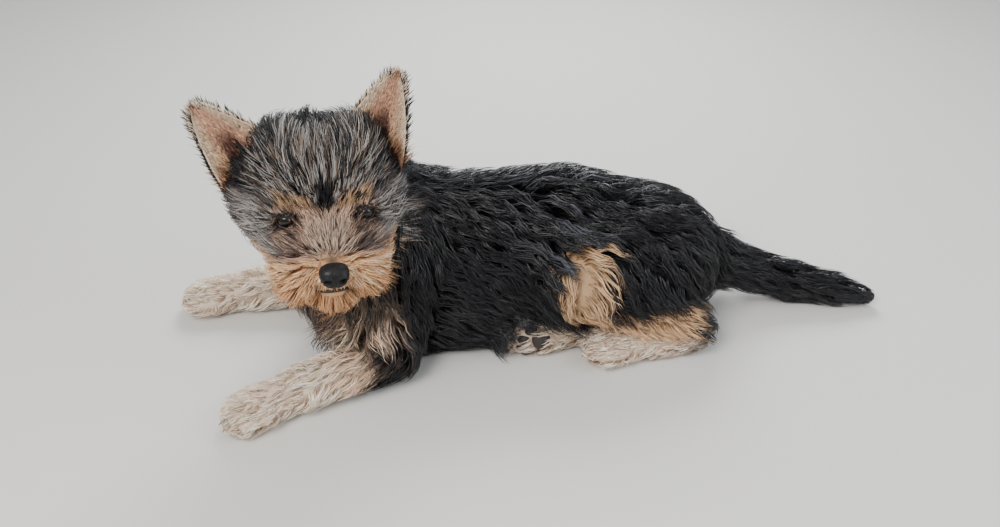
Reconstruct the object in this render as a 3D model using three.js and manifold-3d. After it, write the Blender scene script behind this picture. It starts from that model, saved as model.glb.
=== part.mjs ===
// A life-size Yorkshire terrier puppy lying on its chest with the hips rolled over, head up and turned to its left.
// Millimetres, +Z up. The origin is on the floor under the chest. -X is towards the head end, +X towards the tail.
import * as THREE from "three";
import { mergeVertices } from "three/addons/utils/BufferGeometryUtils.js";
import Module from "manifold-3d";

const wasm = await Module();
wasm.setup();

// Driving dimensions
const GAP = 0.35; // between touching nodes
const CORE = 0.45; // share of the coat's depth that the solid core takes
const SEED = 11;
const FULL = true;

const HEAD_AT = [-108, -33, 126]; // middle of the skull
const HEAD_YAW = 4; // degrees, from straight out to the puppy's left
const HEAD_PITCH = -4;
const HEAD_ROLL = -1;
const EYE_AT = [25, 20.5, 2]; // forward, sideways, up from the middle of the skull
const EYE_R = 6.2;
const NOSE_AT = [57, 0, -14];
const LID = 1.4;
const NOSE_HALF = [6, 7.4, 6];
const NOSTRIL = { at: [5, 4, -0.5], half: [3, 2, 1.5] }; // from the middle of the nose
const LIPS = { height: -20, reach: 62, radius: 1.2, start: [20, 0] }; // reach in degrees to each side
const EAR_BASES = { left: [-9, 28, 14], right: [-9, -33, 12] };
const EAR_TIPS = { left: [-60, -15, 187], right: [-171, -24, 179] };
const EAR_WIDTH = 42;
const EAR_WALL = 2.4;
const EAR_CUP = 11; // depth of the hollow at the base
const EAR_TURN = 0.34; // how far each ear's opening turns towards the middle

const COAT = { torso: 12, neck: 14, head: 13, jaw: 8, leg: 6, thigh: 9, paw: 4.5, tail: 8.5 };

// Joints of the legs, [x, y, z, radius of the skin]
const LEGS = {
  foreleg_left: {
    upper: [[-70, -24, 58, 19], [-76, -42, 24, 13.5]],
    lower: [[-78, -50, 19, 12], [-128, -66, 15.5, 8.5]],
    foot: [[-132, -67, 14, 9], [-156, -76, 11.5, 10]],
    toes: [-170, -81, 8.5],
  },
  foreleg_right: {
    upper: [[-74, 22, 58, 19], [-98, 34, 24, 13.5]],
    lower: [[-102, 38, 19, 12], [-156, 44, 15, 8.5]],
    foot: [[-160, 44.5, 14, 9], [-186, 46, 11.5, 10]],
    toes: [-201, 48, 8.5],
  },
  hindleg_left: {
    upper: [[98, -18, 46, 30], [48, -40, 54, 19]],
    lower: [[48, -44, 48, 15], [116, -50, 16, 9]],
    foot: [[119, -53, 12, 8], [66, -53, 11.5, 9.5]],
    toes: [51, -52, 8.5],
  },
  hindleg_right: {
    upper: [[98, 20, 36, 27], [48, 36, 22, 17]],
    lower: [[46, 30, 17, 12], [58, -22, 14, 8]],
    foot: [[54, -30, 12.5, 8], [18, -36, 12, 9.5]],
    toes: [5, -38, 10],
  },
};

const TAIL = [
  [124, 2, 44, 12],
  [148, 1, 33, 8],
  [172, -3, 22, 6],
  [200, -10, 15, 5],
  [228, -19, 11, 4],
  [247, -26, 8, 2.6],
];
const NECK = [[-60, 0, 70, 31], [-84, -6, 92, 28], [-104, -18, 112, 24]];
// Rounded masses of the trunk: middle and half sizes
const TRUNK = [
  [[-54, 0, 45], [44, 35, 43]],
  [[-44, 0, 68], [34, 25, 27]],
  [[-10, 0, 49], [48, 36, 49]],
  [[38, 1, 60], [46, 33, 37]],
  [[84, 2, 46], [42, 34, 33]],
  [[112, 2, 36], [25, 25, 25]],
  [[-88, -12, 66], [24, 22, 27]],
];
// Masses of the head, in its own frame: forward, left, up
const SKULL = [
  [[-4, 0, 3], [31, 28.5, 27]],
  [[8, 0, 12], [20, 22, 18]],
  [[3, 20, -9], [20, 13, 17]],
  [[3, -20, -9], [20, 13, 17]],
  [[28, 0, -12], [21, 12, 9.5]],
  [[35, 12, -15], [11, 13, 9.5]],
  [[35, -12, -15], [11, 13, 9.5]],
];
const JAW = [[[26, 0, -27], [20, 13, 8.5]], [[36, 0, -30], [10, 12, 7.5]]];

// Small vector helpers on plain arrays
const add = (a, b, s = 1) => [a[0] + b[0] * s, a[1] + b[1] * s, a[2] + b[2] * s];
const sub = (a, b) => add(a, b, -1);
const dot = (a, b) => a[0] * b[0] + a[1] * b[1] + a[2] * b[2];
const cross = (a, b) => [a[1] * b[2] - a[2] * b[1], a[2] * b[0] - a[0] * b[2], a[0] * b[1] - a[1] * b[0]];
const size = (a) => Math.hypot(...a);
const unit = (a) => add([0, 0, 0], a, 1 / (size(a) || 1));
const mix = (a, b, t) => a + (b - a) * t;
const mix3 = (a, b, t) => add(a, sub(b, a), t);
const smoothMin = (a, b, k) => Math.min(a, b) - (Math.max(k - Math.abs(a - b), 0) ** 2 * 0.25) / k;

let seed = SEED;
function random() {
  seed = (seed * 1664525 + 1013904223) % 4294967296;
  return seed / 4294967296;
}
const spread = (amount) => (random() * 2 - 1) * amount;

// The head's frame
const toRad = Math.PI / 180;
const headTurn = new THREE.Quaternion()
  .setFromEuler(new THREE.Euler(0, 0, (HEAD_YAW - 90) * toRad))
  .multiply(new THREE.Quaternion().setFromEuler(new THREE.Euler(0, -HEAD_PITCH * toRad, 0)))
  .multiply(new THREE.Quaternion().setFromEuler(new THREE.Euler(HEAD_ROLL * toRad, 0, 0)));
const turned = (v) => new THREE.Vector3(...v).applyQuaternion(headTurn).toArray();
const headPoint = (v) => add(turned(v), HEAD_AT);
const headBack = headTurn.clone().invert();
const intoHead = (p) => new THREE.Vector3(...sub(p, HEAD_AT)).applyQuaternion(headBack).toArray();

// Distance fields: a round-ended cone between two [x, y, z, radius], and an ellipsoid
function cone([ax, ay, az, ra], [bx, by, bz, rb]) {
  const a = [ax, ay, az];
  const ab = [bx - ax, by - ay, bz - az];
  const length2 = dot(ab, ab);
  return (p) => {
    const ap = sub(p, a);
    const t = Math.min(1, Math.max(0, dot(ap, ab) / length2));
    return size(add(ap, ab, -t)) - mix(ra, rb, t);
  };
}
function ellipsoid([middle, half]) {
  return (p) => {
    const q = sub(p, middle);
    const k0 = Math.hypot(q[0] / half[0], q[1] / half[1], q[2] / half[2]);
    const k1 = Math.hypot(q[0] / half[0] ** 2, q[1] / half[1] ** 2, q[2] / half[2] ** 2);
    return k1 < 1e-9 ? -Math.min(...half) : (k0 * (k0 - 1)) / k1;
  };
}
const chain = (points) => points.slice(1).map((point, i) => cone(points[i], point));
const blend = (fields, k) => (p) => fields.reduce((d, field) => smoothMin(d, field(p), k), 1e3);
function slope(field, p) {
  const e = 0.4;
  return unit([0, 1, 2].map((i) => {
    const step = [0, 0, 0];
    step[i] = e;
    return field(add(p, step)) - field(sub(p, step));
  }));
}

// Where the ray from inside meets the outermost surface of the field at that level
function reach(field, level, from, way, far) {
  let r = far;
  for (let i = 0; i < 70; i++) {
    const d = field(add(from, way, r)) - level;
    if (d < 0.02) break;
    r -= Math.max(d * 0.85, 0.02);
    if (r < 0.5) return 0.5;
  }
  return r;
}

// A point on a spine of [x, y, z] points, with its direction and two cross directions
function spine(points) {
  const curve = new THREE.CatmullRomCurve3(points.map((p) => new THREE.Vector3(p[0], p[1], p[2])));
  return (t) => {
    const tangent = curve.getTangentAt(t).toArray();
    const side = unit(cross(Math.abs(tangent[2]) > 0.93 ? [1, 0, 0] : [0, 0, 1], tangent));
    return { at: curve.getPointAt(t).toArray(), tangent, side, up: cross(tangent, side) };
  };
}

// The surface of a field around a spine, as a function of v along it (-1 to 2, with round ends) and the angle
function wrapPoint(field, line, level, far, v, angle) {
  const { at, tangent, side, up } = line(Math.min(1, Math.max(0, v)));
  const round = add(add([0, 0, 0], side, Math.cos(angle)), up, Math.sin(angle));
  const lean = v < 0 ? v : v > 1 ? v - 1 : 0;
  const tilt = (lean * Math.PI) / 2;
  const way = unit(add(add([0, 0, 0], round, Math.cos(tilt)), tangent, Math.sin(tilt)));
  return add(at, way, reach(field, level, at, way, far));
}

// A closed mesh wrapped on the field around the spine
function wrap(field, line, { level = 0, far = 70, rings = 12, around = 20, caps = 4 }) {
  const rows = [];
  for (let i = 1; i <= caps; i++) rows.push(-1 + i / caps);
  for (let i = 1; i < rings; i++) rows.push(i / rings);
  for (let i = 0; i < caps; i++) rows.push(1 + i / caps);
  const points = rows.flatMap((v) =>
    Array.from({ length: around }, (_, j) => wrapPoint(field, line, level, far, v, (j / around) * 2 * Math.PI)),
  );
  const first = points.push(wrapPoint(field, line, level, far, -1, 0)) - 1;
  const last = points.push(wrapPoint(field, line, level, far, 2, 0)) - 1;
  const faces = [];
  for (let j = 0; j < around; j++) {
    const k = (j + 1) % around;
    for (let i = 0; i < rows.length - 1; i++) {
      const a = i * around;
      const b = a + around;
      faces.push([a + j, a + k, b + k], [a + j, b + k, b + j]);
    }
    const end = (rows.length - 1) * around;
    faces.push([first, k, j], [last, end + j, end + k]);
  }
  return solid(points, faces);
}

function solid(points, faces) {
  const geometry = new THREE.BufferGeometry();
  geometry.setAttribute("position", new THREE.Float32BufferAttribute(points.flat(), 3));
  geometry.setIndex(faces.flat());
  return manifold(geometry);
}
function manifold(geometry) {
  const plain = geometry.clone();
  plain.deleteAttribute("normal");
  plain.deleteAttribute("uv");
  const merged = mergeVertices(plain, 1e-3);
  const mesh = new wasm.Mesh({
    numProp: 3,
    vertProperties: merged.attributes.position.array,
    triVerts: new Uint32Array(merged.index.array),
  });
  const made = new wasm.Manifold(mesh);
  if (made.volume() > 0) return made;
  for (let i = 0; i < mesh.triVerts.length; i += 3)
    [mesh.triVerts[i + 1], mesh.triVerts[i + 2]] = [mesh.triVerts[i + 2], mesh.triVerts[i + 1]];
  return new wasm.Manifold(mesh);
}
const join = (solids) => wasm.Manifold.union(solids);
function geometryOf(made) {
  const mesh = made.getMesh();
  const geometry = new THREE.BufferGeometry();
  geometry.setAttribute("position", new THREE.BufferAttribute(mesh.vertProperties, 3));
  geometry.setIndex(new THREE.BufferAttribute(mesh.triVerts, 1));
  return geometry;
}
// The largest body of a solid, looked for again once its nearly equal points are merged
function largest(made) {
  const biggest = (from) => from.decompose().sort((a, b) => b.volume() - a.volume())[0];
  return biggest(manifold(geometryOf(biggest(manifold(geometryOf(biggest(made)))))));
}

// Every part of the puppy: its field at the skin, its spine and its coat
const parts = {};
function part(name, field, points, depth, mesh = {}) {
  const bare = FULL || name === "head" || name === "lower_jaw";
  parts[name] = { name, field, line: spine(points), level: depth * (bare ? CORE : 1), mesh, locks: [] };
}
const headField = (masses, k) => {
  const field = blend(masses.map(ellipsoid), k);
  return (p) => field(intoHead(p));
};
// How softly the masses of each part run into one another, in millimetres
const SOFT = { head: 9, jaw: 5, torso: 16, neck: 8, tail: 5, leg: 6, paw: 4 };
const SKULL_LINE = [headPoint([-20, 0, 2]), headPoint([8, 0, 0]), headPoint([38, 0, -12])];
const JAW_LINE = [headPoint([20, 0, -25]), headPoint([40, 0, -27])];
const TRUNK_LINE = [[-72, 0, 50], [-10, 0, 52], [60, 1, 54], [108, 2, 38]];
part("head", headField(SKULL, SOFT.head), SKULL_LINE, COAT.head, { rings: 9, around: 20, caps: 4 });
part("lower_jaw", headField(JAW, SOFT.jaw), JAW_LINE, COAT.jaw, { rings: 3, around: 14, caps: 3 });
part("torso", blend(TRUNK.map(ellipsoid), SOFT.torso), TRUNK_LINE, COAT.torso, { rings: 9, around: 16, caps: 4 });
part("neck", blend(chain(NECK), SOFT.neck), NECK, COAT.neck, { rings: 4, around: 16, caps: 3 });
for (const [name, bones, rings] of [["tail_root", TAIL.slice(0, 4), 5], ["tail_tip", TAIL.slice(3), 4]])
  part(name, blend(chain(bones), SOFT.tail), bones, COAT.tail, { rings, around: 10, caps: 2 });

const TOE_R = 4.6;
const TOE_SPREAD = 9.6; // from the middle to an outer toe
const TOE_LENGTH = 12;
const TOE_BACK = 4.5; // how far the outer toes stand back
const CLAW = { length: 6, radius: 1.3 };
function toePoints({ foot, toes }, flat) {
  const ball = foot[1].slice(0, 3);
  const way = unit(sub(toes, ball));
  const across = flat ? unit(cross(way, [0, 0, 1])) : unit([0.1, -0.25, 1]);
  return [-1, -0.36, 0.36, 1].map((s) => {
    return { at: add(add(toes, across, s * TOE_SPREAD), way, -TOE_BACK * s * s), way };
  });
}
for (const [name, leg] of Object.entries(LEGS)) {
  const hind = name.startsWith("hind");
  const [top, middle] = hind ? ["thigh", "shank"] : ["upper_arm", "forearm"];
  const side = name.endsWith("left") ? "left" : "right";
  const upperMesh = hind ? { rings: 5, around: 13, caps: 3 } : { rings: 3, around: 11, caps: 3 };
  part(`${top}_${side}`, blend(chain(leg.upper), SOFT.leg), leg.upper, hind ? COAT.thigh : COAT.leg, upperMesh);
  const lowerMesh = { rings: 4, around: 9, caps: 2 };
  part(`${middle}_${side}`, blend(chain(leg.lower), SOFT.leg), leg.lower, COAT.leg, lowerMesh);
  const toes = toePoints(leg, name !== "hindleg_right");
  const paw = hind ? `hind_foot_${side}` : `fore_foot_${side}`;
  const toeFields = toes.map(({ at, way }) => cone([...add(at, way, -TOE_LENGTH), TOE_R], [...at, TOE_R]));
  const pawField = blend([...chain(leg.foot), ...toeFields], SOFT.paw);
  part(paw, pawField, [...leg.foot, leg.toes], COAT.paw, { rings: 5, around: 12, caps: 3 });
  parts[paw].claws = toes;
}
const bodyField = (p) => Math.min(...Object.values(parts).map(({ field, level }) => field(p) - level));

// One flat, tapered lock that bends and lies along the coat. It starts sunk in its root and ends in a point.
const LOCK_WIDTHS = [0.6, 1, 0.92, 0.55];
const LOCK_HEIGHTS = [-0.5, 0.35, 0.75, 1, 1.1];
const LOWEST = 0.4; // height of the lowest locks over the floor
function lock(root, { lie, length, width, thick, lift, low, curl = 0, grow = 0 }) {
  const steps = LOCK_WIDTHS.length;
  let p = root;
  let way = lie(root);
  const points = [];
  for (let k = 0; k <= steps; k++) {
    const up = slope(bodyField, p);
    const pull = lie(p);
    way = unit(add(way, pull, 1));
    const flat = unit(add(way, up, -dot(way, up)));
    const side = cross(flat, up);
    const height = lift * LOCK_HEIGHTS[k];
    const at = k ? add(p, up, height - bodyField(p)) : add(p, up, -4);
    at[2] = Math.max(at[2], low);
    if (k < steps) {
      const half = (width * LOCK_WIDTHS[k]) / 2 + 2 * grow;
      const low = add(at, up, -1.5 * grow);
      points.push(add(low, side, half), add(low, side, -half), add(at, up, thick + 1.5 * grow));
    } else points.push(add(at, flat, grow * 4));
    const bend = add(flat, side, curl * Math.cos((k / steps) * Math.PI * 1.5));
    p = add(at, unit(bend), length / steps);
  }
  const faces = [[0, 1, 2]];
  for (let k = 0; k < steps - 1; k++)
    for (let j = 0; j < 3; j++) {
      const a = k * 3 + j;
      const b = k * 3 + ((j + 1) % 3);
      faces.push([a, b + 3, b], [a, a + 3, b + 3]);
    }
  const end = (steps - 1) * 3;
  for (let j = 0; j < 3; j++) faces.push([end + j, end + 3, end + ((j + 1) % 3)]);
  return solid(points, faces);
}

// Whether a root lies in another part, or too near the floor
function hidden(root, own, clear) {
  if (root[2] < 5) return true;
  return Object.values(parts).some((other) => other !== own && other.field(root) - other.level < clear);
}
// Locks in staggered rows over a part
function coat(name, { from, to, rows, perRow, clear = 1.5, skip = () => false, ...shape }) {
  const own = parts[name];
  for (let i = 0; i < rows; i++)
    for (let j = 0; j < perRow; j++) {
      const v = mix(from, to, (i + 0.5 + spread(0.2)) / rows);
      const angle = ((j + (i % 2) * 0.5 + spread(0.2)) / perRow) * 2 * Math.PI;
      const vary = 1 + spread(0.15);
      const curl = (shape.curl ?? 0) * (random() < 0.5 ? -1 : 1);
      const root = wrapPoint(own.field, own.line, own.level, 80, v, angle);
      if (hidden(root, own, clear) || skip(root)) continue;
      const low = LOWEST + random() * 1.5;
      own.locks.push({ root, shape: { ...shape, curl, low, length: shape.length * vary } });
    }
}

// The lie of the coat
const tailward = (p) => unit([0.9, 0, p[2] > 70 ? -0.15 : -0.55]);
const downNeck = (p) => unit([0.75, 0.35 * Math.sign(p[1] + 6), -0.6]);
const alongTail = () => unit([0.9, -0.22, -0.22]);
const NOSE_TOP = headPoint([60, 0, -6]);
const fromNose = (p) => unit(add(unit(sub(p, NOSE_TOP)), [0, 0, -1], 0.25));
const fallFromNose = (p) => unit(add(unit(sub(p, NOSE_TOP)), [0, 0, -1], 0.6));
const along = (from, to, drop = 0.2) => () => unit(add(unit(sub(to, from)), [0, 0, -1], drop));
const nearHead = (spots, r) => (p) => spots.some((spot) => size(sub(intoHead(p), spot)) < r);

const mirrorY = ([f, s, u]) => [f, -s, u];
const keepOffFace = (p) => {
  const bare = [EYE_AT, mirrorY(EYE_AT), NOSE_AT];
  return nearHead(bare, 11)(p) || nearHead(Object.values(EAR_BASES), 15)(p);
};
const onMuzzle = (p) => intoHead(p)[0] > 26 && intoHead(p)[2] < -2;

const HAIR = {
  torso: { length: 48, width: 25, thick: 3, lift: 6.6, curl: 0.35, lie: tailward },
  neck: { length: 36, width: 19, thick: 2.8, lift: 7, curl: 0.25, lie: downNeck, clear: -6 },
  head: { length: 28, width: 14, thick: 2.4, lift: 8, curl: 0.1, lie: fromNose },
  muzzle: { length: 26, width: 12, thick: 2.2, lift: 8, lie: fallFromNose },
  jaw: { length: 20, width: 10, thick: 2, lift: 7, lie: fallFromNose, clear: 0.5 },
  tailRoot: { length: 36, width: 14, thick: 2, lift: 5, lie: alongTail, clear: 0.5 },
  tailTip: { length: 34, width: 12, thick: 2, lift: 4, lie: alongTail, clear: 0.5 },
};
const offMuzzle = (p) => keepOffFace(p) || onMuzzle(p);
const offSkull = (p) => keepOffFace(p) || !onMuzzle(p);
coat("torso", { from: 0.02, to: 0.98, rows: 6, perRow: 8, ...HAIR.torso });
coat("neck", { from: 0.1, to: 0.9, rows: 2, perRow: 9, ...HAIR.neck });
coat("head", { from: -0.8, to: 0.75, rows: 4, perRow: 9, ...HAIR.head, skip: offMuzzle });
coat("head", { from: 0.72, to: 1.5, rows: 2, perRow: 10, ...HAIR.muzzle, skip: offSkull });
coat("lower_jaw", { from: 0.1, to: 1.4, rows: 1, perRow: 9, ...HAIR.jaw });
coat("tail_root", { from: 0.1, to: 0.95, rows: 3, perRow: 4, ...HAIR.tailRoot });
coat("tail_tip", { from: 0.05, to: 1.1, rows: 2, perRow: 4, ...HAIR.tailTip });
for (const [name, leg] of Object.entries(LEGS)) {
  const hind = name.startsWith("hind");
  const side = name.endsWith("left") ? "left" : "right";
  const ends = (pair) => [pair[0].slice(0, 3), pair[1].slice(0, 3)];
  const downThigh = (p) => unit([p[0] > 80 ? 0.2 : -0.3, -0.1, -0.9]);
  const upper = { from: 0.05, to: 0.9, length: 30, width: 17, thick: 2.4, curl: 0.3, clear: 0.5 };
  if (hind) coat(`thigh_${side}`, { ...upper, rows: 3, perRow: 7, lift: 5, lie: downThigh });
  else coat(`upper_arm_${side}`, { ...upper, rows: 2, perRow: 5, lift: 3.5, lie: tailward });
  const lower = { from: 0, to: 1, rows: 2, perRow: 5, length: 21, width: 11, thick: 1.8, lift: 3.4, clear: 0.5 };
  coat(`${hind ? "shank" : "forearm"}_${side}`, { ...lower, lie: along(...ends(leg.lower), 0.3) });
  const foot = { from: 0, to: 0.7, rows: 1, perRow: 5, length: 16, width: 9, thick: 1.6, lift: 2.6, clear: 0.3 };
  coat(`${hind ? "hind" : "fore"}_foot_${side}`, { ...foot, lie: along(...ends(leg.foot), 0.1) });
}

// A round mass placed in the head's frame
function headBall([f, s, u], [rf, rs, ru], detail = 12) {
  const ball = new THREE.SphereGeometry(1, detail, Math.round(detail * 0.7));
  ball.scale(rf, rs, ru).applyQuaternion(headTurn).translate(...headPoint([f, s, u]));
  return manifold(ball);
}

// The cupped ear: a shell with the same triangles on both faces, its rim closed
function ear(side) {
  const name = side > 0 ? "left" : "right";
  const base = headPoint(EAR_BASES[name]);
  const tip = EAR_TIPS[name];
  const up = unit(sub(tip, base));
  const out = unit(cross(up, unit([-EAR_TURN * side, -1, 0.1])));
  const front = cross(out, up);
  const length = size(sub(tip, base));
  const across = 8;
  const rows = 7;
  const at = (i, j, wall) => {
    const u = i / rows;
    const s = (j / across) * 2 - 1;
    const half = (EAR_WIDTH / 2) * Math.max(0.07, (1 - u * u) ** 0.7 * (1 - 0.35 * u));
    const cup = EAR_CUP * (1 - 0.75 * u);
    const edge = wall * (1 - 0.55 * s * s) * (1 - 0.4 * u);
    const depth = -cup * (1 - s * s) + edge;
    return add(add(add(base, up, u * length), out, s * half), front, depth);
  };
  const points = [];
  for (const wall of [0, -EAR_WALL])
    for (let i = 0; i <= rows; i++)
      for (let j = 0; j <= across; j++) points.push(at(i, j, wall));
  const id = (layer, i, j) => layer * (rows + 1) * (across + 1) + i * (across + 1) + j;
  const faces = [];
  for (let i = 0; i < rows; i++)
    for (let j = 0; j < across; j++) {
      const [a, b, c, d] = [id(0, i, j), id(0, i, j + 1), id(0, i + 1, j + 1), id(0, i + 1, j)];
      const back = id(1, 0, 0);
      faces.push([a, b, c], [a, c, d], [a + back, c + back, b + back], [a + back, d + back, c + back]);
    }
  const rim = [];
  for (let j = 0; j < across; j++) rim.push([0, j]);
  for (let i = 0; i < rows; i++) rim.push([i, across]);
  for (let j = across; j > 0; j--) rim.push([rows, j]);
  for (let i = rows; i > 0; i--) rim.push([i, 0]);
  rim.forEach(([i, j], k) => {
    const [m, n] = rim[(k + 1) % rim.length];
    const [a, b, c, d] = [id(0, i, j), id(0, m, n), id(1, m, n), id(1, i, j)];
    faces.push([a, d, c], [a, c, b]);
  });
  return solid(points, faces);
}

// Finished solids, and the room around each that later parts keep out of
const nodes = new Map();
const keepOut = new Map();
const cutAll = (made) =>
  largest([...keepOut.values(), below].reduce((left, other) => left.subtract(other), made));
function finish(name, made, room) {
  nodes.set(name, cutAll(made));
  keepOut.set(name, room);
}
// Middles of the edges that more than two faces share
function pinches(made) {
  const { vertProperties: xyz, triVerts } = made.getMesh();
  const corner = (v) => [0, 1, 2].map((k) => xyz[v * 3 + k].toFixed(3)).join();
  const seen = new Map();
  for (let i = 0; i < triVerts.length; i += 3)
    for (let k = 0; k < 3; k++) {
      const [a, b] = [triVerts[i + k], triVerts[i + ((k + 1) % 3)]];
      const edge = [corner(a), corner(b)].sort().join("|");
      const middle = [0, 1, 2].map((m) => (xyz[a * 3 + m] + xyz[b * 3 + m]) / 2);
      const known = seen.get(edge) ?? { count: 0, at: middle };
      seen.set(edge, { ...known, count: known.count + 1 });
    }
  return [...seen.values()].filter(({ count }) => count > 2).map(({ at }) => at);
}
const box = new THREE.BoxGeometry(900, 900, 100);
box.translate(0, 0, -50);
const below = manifold(box);

for (const side of [1, -1]) {
  const [f, s, u] = EYE_AT;
  const ball = (radius) => headBall([f, s * side, u], [radius, radius, radius]);
  finish(side > 0 ? "eye_left" : "eye_right", ball(EYE_R), ball(EYE_R + GAP));
}
const nostrils = [1, -1].map((side) => {
  const [f, s, u] = NOSTRIL.at;
  return headBall(add(NOSE_AT, [f, s * side, u]), NOSTRIL.half, 10);
});
finish("nose", headBall(NOSE_AT, NOSE_HALF).subtract(join(nostrils)), headBall(NOSE_AT, NOSE_HALF.map((r) => r + GAP)));

// A hollow in the coat round each eye, a ball of lid in it, and the opening of the lids
const SOCKET = { at: [8, 4, 0], half: [11, 10, 8.5] };
const OPENING = { at: [4.5, 1.5, -0.3], half: [6, 5.6, 3.6] };
function withEyeSockets(head) {
  let made = head;
  for (const side of [1, -1]) {
    const place = ([f, s, u]) => [EYE_AT[0] + f, (EYE_AT[1] + s) * side, EYE_AT[2] + u];
    made = made.subtract(headBall(place(SOCKET.at), SOCKET.half));
    made = made.add(headBall(place([0, 0, 0]), Array(3).fill(EYE_R + LID)));
    made = made.subtract(headBall(place(OPENING.at), OPENING.half));
  }
  return made;
}
// The rolled edge of the upper lips, along the line of the mouth
function lips(grow) {
  const { field, level } = parts.head;
  const rings = 10;
  const sides = 6;
  const from = headPoint([...LIPS.start, LIPS.height]);
  const points = [];
  const faces = [];
  for (let i = 0; i <= rings; i++) {
    const angle = mix(-LIPS.reach, LIPS.reach, i / rings) * toRad;
    const way = turned([Math.cos(angle), Math.sin(angle), 0]);
    const middle = add(from, way, reach(field, level, from, way, 60));
    const radius = LIPS.radius * (i % rings ? 1 : 0.4) + grow;
    for (let j = 0; j < sides; j++) {
      const turn = (j / sides) * 2 * Math.PI;
      const round = add(add([0, 0, 0], way, Math.cos(turn)), turned([0, 0, 1]), Math.sin(turn));
      points.push(add(middle, round, radius));
      const [a, k] = [i * sides, (j + 1) % sides];
      if (i < rings) faces.push([a + j, a + k, a + k + sides], [a + j, a + k + sides, a + j + sides]);
    }
  }
  const end = rings * sides;
  for (let j = 2; j < sides; j++) faces.push([0, j, j - 1], [end, end + j - 1, end + j]);
  return solid(points, faces);
}
function claw({ at, way }) {
  const cone = new THREE.ConeGeometry(CLAW.radius, CLAW.length, 6);
  const ahead = new THREE.Vector3(...way);
  cone.applyQuaternion(new THREE.Quaternion().setFromUnitVectors(new THREE.Vector3(0, 1, 0), ahead));
  cone.translate(...add(at, way, TOE_R + CLAW.length * 0.4));
  return manifold(cone);
}
for (const { name, field, line, level, mesh, locks, claws = [] } of Object.values(parts)) {
  const plain = wrap(field, line, { ...mesh, level });
  const isHead = name === "head";
  const bare = join([isHead ? withEyeSockets(plain).add(lips(0)) : plain, ...claws.map(claw)]);
  const room = wrap(field, line, { ...mesh, level: level + GAP });
  const around = isHead ? room.add(lips(GAP)) : room;
  // A lock that leaves an edge shared by more than two faces is left out
  let kept = FULL ? locks : [];
  let made;
  for (;;) {
    made = join([bare, ...kept.map(({ root, shape }) => lock(root, shape))]);
    const [pinch] = pinches(cutAll(made));
    if (!pinch || !kept.length) break;
    const distance = ({ root, shape }) => size(sub(add(root, shape.lie(root), shape.length / 2), pinch));
    const nearest = kept.reduce((a, b) => (distance(a) < distance(b) ? a : b));
    kept = kept.filter((one) => one !== nearest);
  }
  finish(name, made, join([around, made, ...kept.map(({ root, shape }) => lock(root, { ...shape, grow: GAP }))]));
  if (isHead)
    for (const side of [1, -1]) finish(side > 0 ? "ear_left" : "ear_right", ear(side), ear(side));
}

// Colours of the coat and the bare skin
const COLOURS = { black: "#17161b", tan: "#c08a5c", silver: "#6c6763", cream: "#d9b08c", dark: "#141214" };
const finishOf = (name) => {
  if (name.startsWith("eye")) return { color: "#1a0f0a", roughness: 0.08 };
  if (name === "nose") return { color: COLOURS.dark, roughness: 0.4 };
  if (name === "lower_jaw" || name.startsWith("ear")) return { color: COLOURS.tan, roughness: 0.75 };
  if (name === "head") return { color: COLOURS.silver, roughness: 0.75 };
  if (/foot|forearm|shank/.test(name)) return { color: COLOURS.cream, roughness: 0.8 };
  return { color: COLOURS.black, roughness: 0.6 };
};
const puppy = new THREE.Group();
for (const [name, made] of nodes) {
  const geometry = geometryOf(made);
  geometry.computeVertexNormals();
  const piece = new THREE.Mesh(geometry, new THREE.MeshStandardMaterial({ metalness: 0, ...finishOf(name) }));
  piece.name = name;
  puppy.add(piece);
}
export default puppy;
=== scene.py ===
# Looks of a still Yorkshire terrier puppy lying on its belly: skin, long coat, ears, eyes, nose, claws, pads
import math

import bpy
import numpy as np
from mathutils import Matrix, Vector


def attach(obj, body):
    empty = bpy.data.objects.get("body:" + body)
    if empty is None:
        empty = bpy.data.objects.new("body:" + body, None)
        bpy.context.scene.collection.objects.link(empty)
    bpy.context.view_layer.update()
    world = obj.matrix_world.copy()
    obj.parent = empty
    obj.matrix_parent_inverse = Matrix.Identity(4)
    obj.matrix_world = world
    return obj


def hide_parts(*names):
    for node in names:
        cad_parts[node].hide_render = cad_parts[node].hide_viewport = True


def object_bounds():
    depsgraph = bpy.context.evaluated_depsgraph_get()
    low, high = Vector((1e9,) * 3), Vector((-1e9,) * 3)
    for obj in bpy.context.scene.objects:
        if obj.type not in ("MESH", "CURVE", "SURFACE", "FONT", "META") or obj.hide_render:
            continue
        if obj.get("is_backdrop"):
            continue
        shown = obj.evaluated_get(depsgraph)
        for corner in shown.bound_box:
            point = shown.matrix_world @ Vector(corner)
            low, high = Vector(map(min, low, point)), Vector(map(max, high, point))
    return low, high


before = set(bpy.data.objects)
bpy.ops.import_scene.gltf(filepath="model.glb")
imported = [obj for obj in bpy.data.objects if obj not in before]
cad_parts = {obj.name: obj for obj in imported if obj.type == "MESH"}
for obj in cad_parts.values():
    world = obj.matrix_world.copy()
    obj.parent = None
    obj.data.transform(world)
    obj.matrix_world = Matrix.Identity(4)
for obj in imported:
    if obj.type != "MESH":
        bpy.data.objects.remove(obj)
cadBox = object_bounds()
rng = np.random.default_rng(21)
mm = 0.001  # every size below is in millimetres


# Small helpers on whole arrays
def unit(v):  # v over its length
    return v / np.maximum(np.linalg.norm(v, axis=-1, keepdims=True), 1e-9)


def mix(a, b, t):  # a at t = 0, b at t = 1
    return np.add(a, np.subtract(b, a) * t)


def ease(x, low, high):  # 0 below low, 1 above high, smooth between
    t = np.clip((x - low) / (high - low), 0, 1)
    return t * t * (3 - 2 * t)


def within(x, middle, half, soft):  # 1 inside middle +- half, fading over soft
    return 1 - ease(np.abs(x - middle), half, half + soft)


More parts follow.
